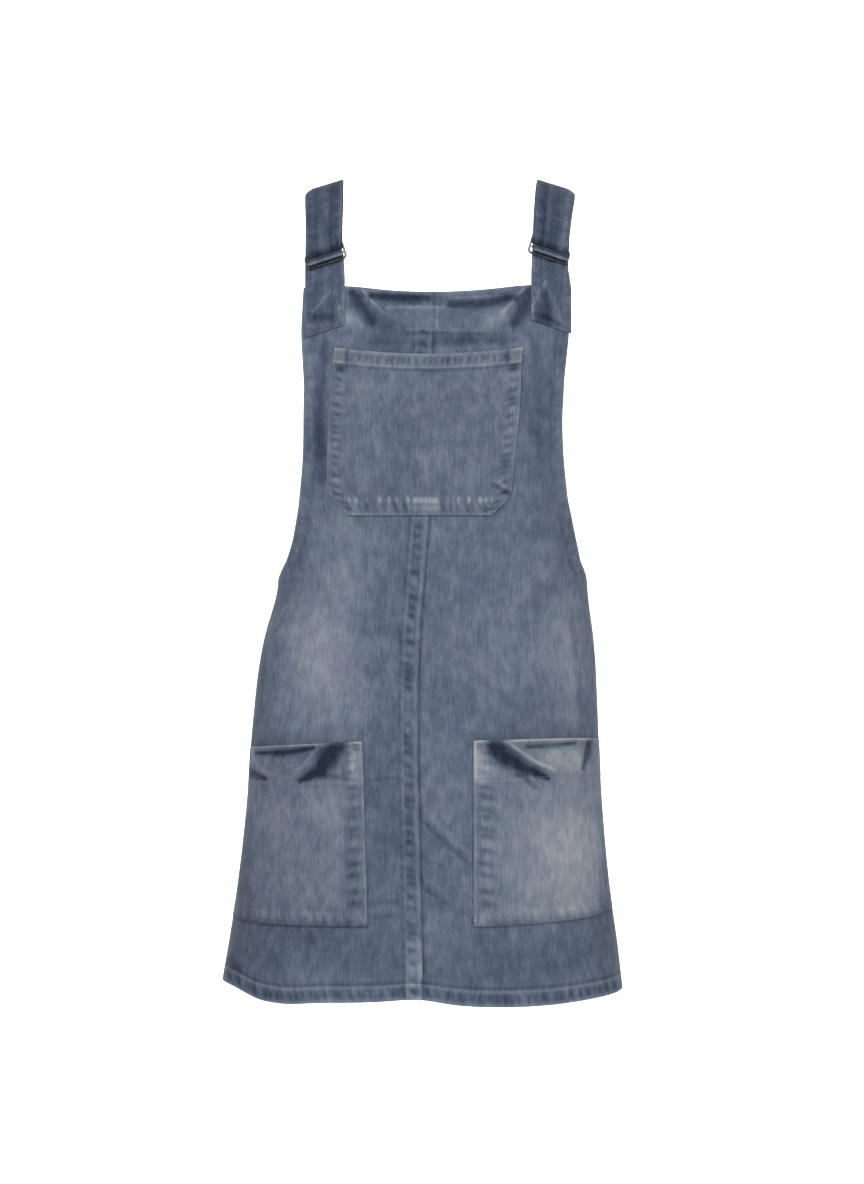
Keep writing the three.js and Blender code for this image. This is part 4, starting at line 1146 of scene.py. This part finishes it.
def strap_strips(strap):
    """A strap's rows: its end turned back inside, the run over the shoulder and the lap on the back."""
    axes = slider_axes(strap, strap["strap_slip"])
    along, up, face, centre = axes
    crest = unit((strap["across"], 0, -CREST_ROLL))
    rear = unit((strap["across"], -SLIDER_YAW, 0))
    over_bar = centre + up * (BAR_RISE + 5) + face * BEND_RADIUS
    run, falling, tail, length = [(over_bar, along, SLIDER_CLOTH_HALF)], [], [], 0
    for y, z, turn in strap_front:
        middle = np.array([mix(over_bar[0], strap["crest"], turn), y, z])
        droop = DROOP * smooth((turn - 0.4) / 0.6)
        run.append((middle, unit(mix(along, crest, turn)), mix(SLIDER_CLOTH_HALF, STRAP_HALF, turn), droop))
    for y, z, turn in strap_back:
        middle = np.array([mix(strap["crest"], strap["back"], turn), y, z])
        droop = DROOP * (1 - smooth(turn / 0.6))
        falling.append((middle, unit(mix(crest, rear, turn)), mix(STRAP_HALF, BACK_END_HALF, turn), droop))
    for k, (middle, *rest) in enumerate(run[:-1]):
        before = run[max(k - 1, 0)][0]
        inward = unit(np.cross(unit(run[k + 1][0] - before), rest[0]))
        inward = inward if inward[1] > 0 else -inward
        tail.append((middle + inward * (TAIL_START if k == 0 else TAIL_SPACING), *rest))
        length += np.linalg.norm(run[k + 1][0] - middle)
        if length > TAIL_LENGTH:
            break
    round_bar = [(point, along, SLIDER_CLOTH_HALF) for point in turn_round(axes, BAR_RISE, 90, 270, 6)]
    strips = [across_strip(*row) for row in tail[::-1] + round_bar[::-1] + run + falling]
    for k in range(4):
        z = BACK_TOP + 6 - (BACK_LAP + 6) * k / 3
        strips.append(across_panel(strap, strap["back"], z, BACK_END_HALF, 1, 0))
    return strips


def tab_strips(strap):
    """A tab's rows: sewn on the bib, behind the bottom bar and round the middle one."""
    axes = slider_axes(strap, strap["tab_slip"])
    along, up, face, centre = axes
    strips = []
    for k in range(5):
        z = mix(strap["low"], strap["high"], k / 4)
        strips.append(across_panel(strap, strap["tab"], z, STRAP_HALF, -1, STRAP_ROLL))
    for rise, slip, half in ((-BAR_DROP - 2.2, 2.2, 19.6), (-BAR_DROP / 2, 0, SLIDER_CLOTH_HALF)):
        strips.append(across_strip(centre + up * rise + along * slip - face * BEND_RADIUS, along, half))
    for point in turn_round(axes, 0, -90, 165, 8):
        strips.append(across_strip(point, along, SLIDER_CLOTH_HALF))
    return strips


# Marks on the tabs: the pale pressed lines of the folded ends inside, partly worn and partly painted
# highlight, and painted shade and painted shadow over the sewn end.
tab_marks = {
    "left": [
        (0.8, 0.7, 2, [(-112, -116, 1.6), (-131, -138, 1.8)]),
        (-0.4, -0.9, 2, [(-131, -143, 4), (-113, -143, 5)]),
        (0.5, 0.35, 2, [(-104, -128, 3), (-104, -142, 3)]),
        (0.5, 0.5, 2, [(-135, -150, 3), (-128, -153, 2.5)]),
    ],
    "right": [
        (0.8, 0.85, 2, [(108, -106, 1.6), (97, -124, 1.6), (91.5, -143, 2.2)]),
        (0.8, 0.4, 2, [(108, -106, 1.6), (118, -131, 1.8), (129, -158, 1.8)]),
        (-0.4, -0.8, 2, [(108, -118, 3), (108, -146, 8)]),
        (-0.3, -0.8, 2, [(94, -140, 2), (110, -143, 2.2), (128, -152, 2)]),
        (0.3, 0.35, 2, [(119, -144, 3), (124, -151, 3)]),
    ],
}


def along_bar(strap, rise, half):
    """A line over a strap beside its slider's middle bar, for a mark of a half width."""
    along, up, _, centre = slider_axes(strap)
    return [tuple((centre + along * reach + up * rise)[[0, 2]]) + (half,) for reach in (-23, 23)]


strap_thread = plain("dark cotton topstitching thread", "#5C6573", 0.8, 0.2)
for key, strap in straps.items():
    turn_seed = 0 if key == "left" else 7
    # Painted shade where the strap bunches over its bar. The tab's turn round the middle bar gets a painted
    # highlight, with painted shade over and under it.
    bunched_shade = [(0, -1.0, 4, along_bar(strap, 5.6, 4))]
    turned = [
        (0, -0.9, 4, along_bar(strap, 2.0, 2.6)),
        (0, 1.3, 2, along_bar(strap, -1.5, 1.4)),
        (0, -1.2, 4, along_bar(strap, -4.6, 2.2)),
    ]
    for node, strips, seed, marks, base, sewn_row in (
        (f"shoulder_strap_{key}", strap_strips(strap), 111, bunched_shade, -0.3, -1.5),
        (f"strap_tab_{key}", tab_strips(strap), 131, tab_marks[key] + turned, 0.0, 1.5),
    ):
        grid = strip_cloth(strips, seed + turn_seed, marks, strap_streaks[key], base)
        piece, face = cloth(f"{node}_cloth", grid, 0.8, strap_denim, node, "denim_dark", 0)
        beside = [(1, -1, column, column) for column in (1.7, 5.2, -1.7, -5.2)]
        strip_lines = runs(face, *beside, (sewn_row, sewn_row, 1.7, -1.7))
        thread = sew(f"{node}_topstitching", strip_lines, strap_thread)

# Sliders
# Die-cast three-bar sliders with an antique plated finish: near black in the hollows; paler on the front
# faces, partly worn to grey where handled and partly painted highlight, with a painted highlight at the
# inner end.
# The outer frame has round corners, and the strap turns on its top bar.
SLIDER_HALF, SLIDER_CORNER = 21.2, 3.4
WIRE_WIDE, WIRE_DEEP, BAR_THICK = 2.6, 2.2, 1.8
slider_metal = bpy.data.materials.new("antique plated die-cast zinc")
slider_metal.use_nodes = True
tree = slider_metal.node_tree
tree.nodes.clear()
metal_place = add(tree, "ShaderNodeTexCoord", out="Object")
tarnish = add(tree, "ShaderNodeTexNoise", {"Vector": metal_place, "Scale": 260.0, "Detail": 4.0}, "Fac")
rubbed_and_highlit = add(tree, "ShaderNodeAttribute", out="Fac", attribute_name="rubbed_and_highlit")
handled_and_highlit = add(tree, "ShaderNodeMath", {0: tarnish, 1: 0.5, 2: rubbed_and_highlit}, operation="MULTIPLY_ADD")
metal_ramp = add(tree, "ShaderNodeValToRGB", {"Fac": handled_and_highlit})
for stop, position, colour in zip(metal_ramp.node.color_ramp.elements, (0.2, 1.0), ("#27292C", "#84888C")):
    stop.position = position
    stop.color = linear(colour)
metal_look = {"Base Color": metal_ramp, "Metallic": 1.0, "Roughness": 0.42}
metal_shader = add(tree, "ShaderNodeBsdfPrincipled", metal_look)
add(tree, "ShaderNodeOutputMaterial", {"Surface": metal_shader})


def swept(path, closed, wide, deep):
    """Points and faces of a squarish oval bar along a flat path of (along, up) places."""
    path = np.array(path, float)
    count, around = len(path), 12
    ahead = np.roll(path, -1, 0) - np.roll(path, 1, 0) if closed else np.gradient(path, axis=0)
    ahead /= np.linalg.norm(ahead, axis=1, keepdims=True)
    aside = np.stack([ahead[:, 1], -ahead[:, 0]], 1)
    turns = np.linspace(0, 2 * math.pi, around, endpoint=False)
    c, q = (np.sign(s) * np.abs(s) ** 0.75 for s in (np.cos(turns), np.sin(turns)))
    points = np.empty((count, around, 3))
    points[..., :2] = path[:, None] + aside[:, None] * (c * wide / 2)[None, :, None]
    points[..., 2] = q * deep / 2
    faces = []
    for i in range(count if closed else count - 1):
        for k in range(around):
            a, b, ahead_k = i * around, (i + 1) % count * around, (k + 1) % around
            faces.append((a + k, a + ahead_k, b + ahead_k, b + k))
    if not closed:
        faces.append(tuple(range(around))[::-1])
        faces.append(tuple((count - 1) * around + k for k in range(around)))
    return points.reshape(-1, 3), faces


for key, strap in straps.items():
    along, up, face, centre = slider_axes(strap)
    frame_path = []
    for cx, cy, first in ((1, 1, 0), (-1, 1, 90), (-1, -1, 180), (1, -1, 270)):
        middle_x = cx * (SLIDER_HALF - SLIDER_CORNER)
        middle_y = BAR_RISE - SLIDER_CORNER if cy > 0 else -BAR_DROP + SLIDER_CORNER
        for turn in np.radians(np.linspace(first, first + 90, 9)):
            x, y = middle_x + SLIDER_CORNER * math.cos(turn), middle_y + SLIDER_CORNER * math.sin(turn)
            frame_path.append((x, y))
    frame_points, faces = swept(frame_path, True, WIRE_WIDE, WIRE_DEEP)
    middle_bar = [(x, 0) for x in np.linspace(-SLIDER_HALF, SLIDER_HALF, 12)]
    bar_points, bar_faces = swept(middle_bar, False, BAR_THICK, BAR_THICK)
    faces = faces + [tuple(k + len(frame_points) for k in f) for f in bar_faces]
    flat = np.concatenate([frame_points, bar_points])
    points = centre + flat[:, :1] * along + flat[:, 1:2] * up + flat[:, 2:] * face
    mesh = bpy.data.meshes.new(f"slider_{key}_wire")
    mesh.from_pydata((points * MM).tolist(), [], faces)
    mesh.validate()
    shaped = bmesh.new()
    shaped.from_mesh(mesh)
    bmesh.ops.recalc_face_normals(shaped, faces=shaped.faces)
    shaped.to_mesh(mesh)
    shaped.free()
    mesh.shade_smooth()
    # Paler on the front face, partly wear where handled and partly painted highlight, and a painted
    # highlight at the inner end.
    rub_and_highlight = 0.3 * np.clip(flat[:, 2] / WIRE_DEEP + 0.3, 0, 1) * (0.6 + 0.4 * drift(flat[:, 0] * 3, 9, 151))
    mark(mesh, "rubbed_and_highlit", rub_and_highlight + 0.7 * smooth((-flat[:, 0] - SLIDER_HALF + 4) / 4))
    place(f"slider_{key}_wire", mesh, slider_metal, [f"slider_{key}"], "slider_metal")

# Floor, light and camera
# A seamless pale sweep, soft light from the front and above, and the photograph's level camera.
FLOOR_Z, SWEEP_START, SWEEP_RADIUS, SWEEP_HALF, SWEEP_TOP = -1.45, 3.8, 1.2, 7.0, 4.0
profile = [(-9.0, FLOOR_Z), (SWEEP_START, FLOOR_Z)]
for turn in np.radians(np.arange(1, 13) * 7.5):
    rise = SWEEP_RADIUS * (1 - math.cos(turn))
    profile.append((SWEEP_START + SWEEP_RADIUS * math.sin(turn), FLOOR_Z + rise))
profile.append((SWEEP_START + SWEEP_RADIUS, SWEEP_TOP))
sweep_points = [(x, y, z) for x in (-SWEEP_HALF, SWEEP_HALF) for y, z in profile]
count = len(profile)
sweep_mesh = bpy.data.meshes.new("paper_sweep")
sweep_mesh.from_pydata(sweep_points, [], [(k, count + k, count + k + 1, k + 1) for k in range(count - 1)])
sweep_mesh.shade_smooth()
sweep_mesh.materials.append(plain("matt white paper sweep", "#F7F7F7", 0.9, 0.1))
sweep = bpy.data.objects.new("paper_sweep", sweep_mesh)
bpy.context.scene.collection.objects.link(sweep)

world = bpy.data.worlds.new("studio air")
world.use_nodes = True
world.node_tree.nodes["Background"].inputs["Color"].default_value = (1, 1, 1, 1)
world.node_tree.nodes["Background"].inputs["Strength"].default_value = 0.36
bpy.context.scene.world = world

softboxes = [
    ("key_softbox", (-0.7, -2.6, 1.3), (0, 0, -0.45), (1.4, 1.4), 46.2),
    ("fill_softbox", (1.9, -2.4, 0.2), (0, 0, -0.45), (1.6, 1.6), 16.4),
    ("sweep_softbox", (0, 1.9, 2.8), (0, 3.9, 1.35), (6.0, 1.2), 420),
]
for name, position, target, size, power in softboxes:
    lamp = bpy.data.lights.new(name, "AREA")
    lamp.shape = "RECTANGLE"
    lamp.size, lamp.size_y = size
    lamp.energy = power
    light = bpy.data.objects.new(name, lamp)
    bpy.context.scene.collection.objects.link(light)
    light.location = position
    aim = np.array(target) - np.array(position)
    light.rotation_euler = (math.atan2(math.hypot(aim[0], aim[1]), -aim[2]), 0, math.atan2(-aim[0], aim[1]))

PHOTO_TALL = 1184
MM_PER_PIXEL = 1.05
CAMERA = (-8.4, -3000, -424)
camera_data = bpy.data.cameras.new("camera")
camera_data.lens = 36 * -CAMERA[1] / (PHOTO_TALL * MM_PER_PIXEL)
camera = bpy.data.objects.new("camera", camera_data)
bpy.context.scene.collection.objects.link(camera)
camera.location = [c * MM for c in CAMERA]
camera.rotation_euler = (math.radians(90), 0, 0)
bpy.context.scene.camera = camera
bpy.context.scene.view_settings.view_transform = "Standard"
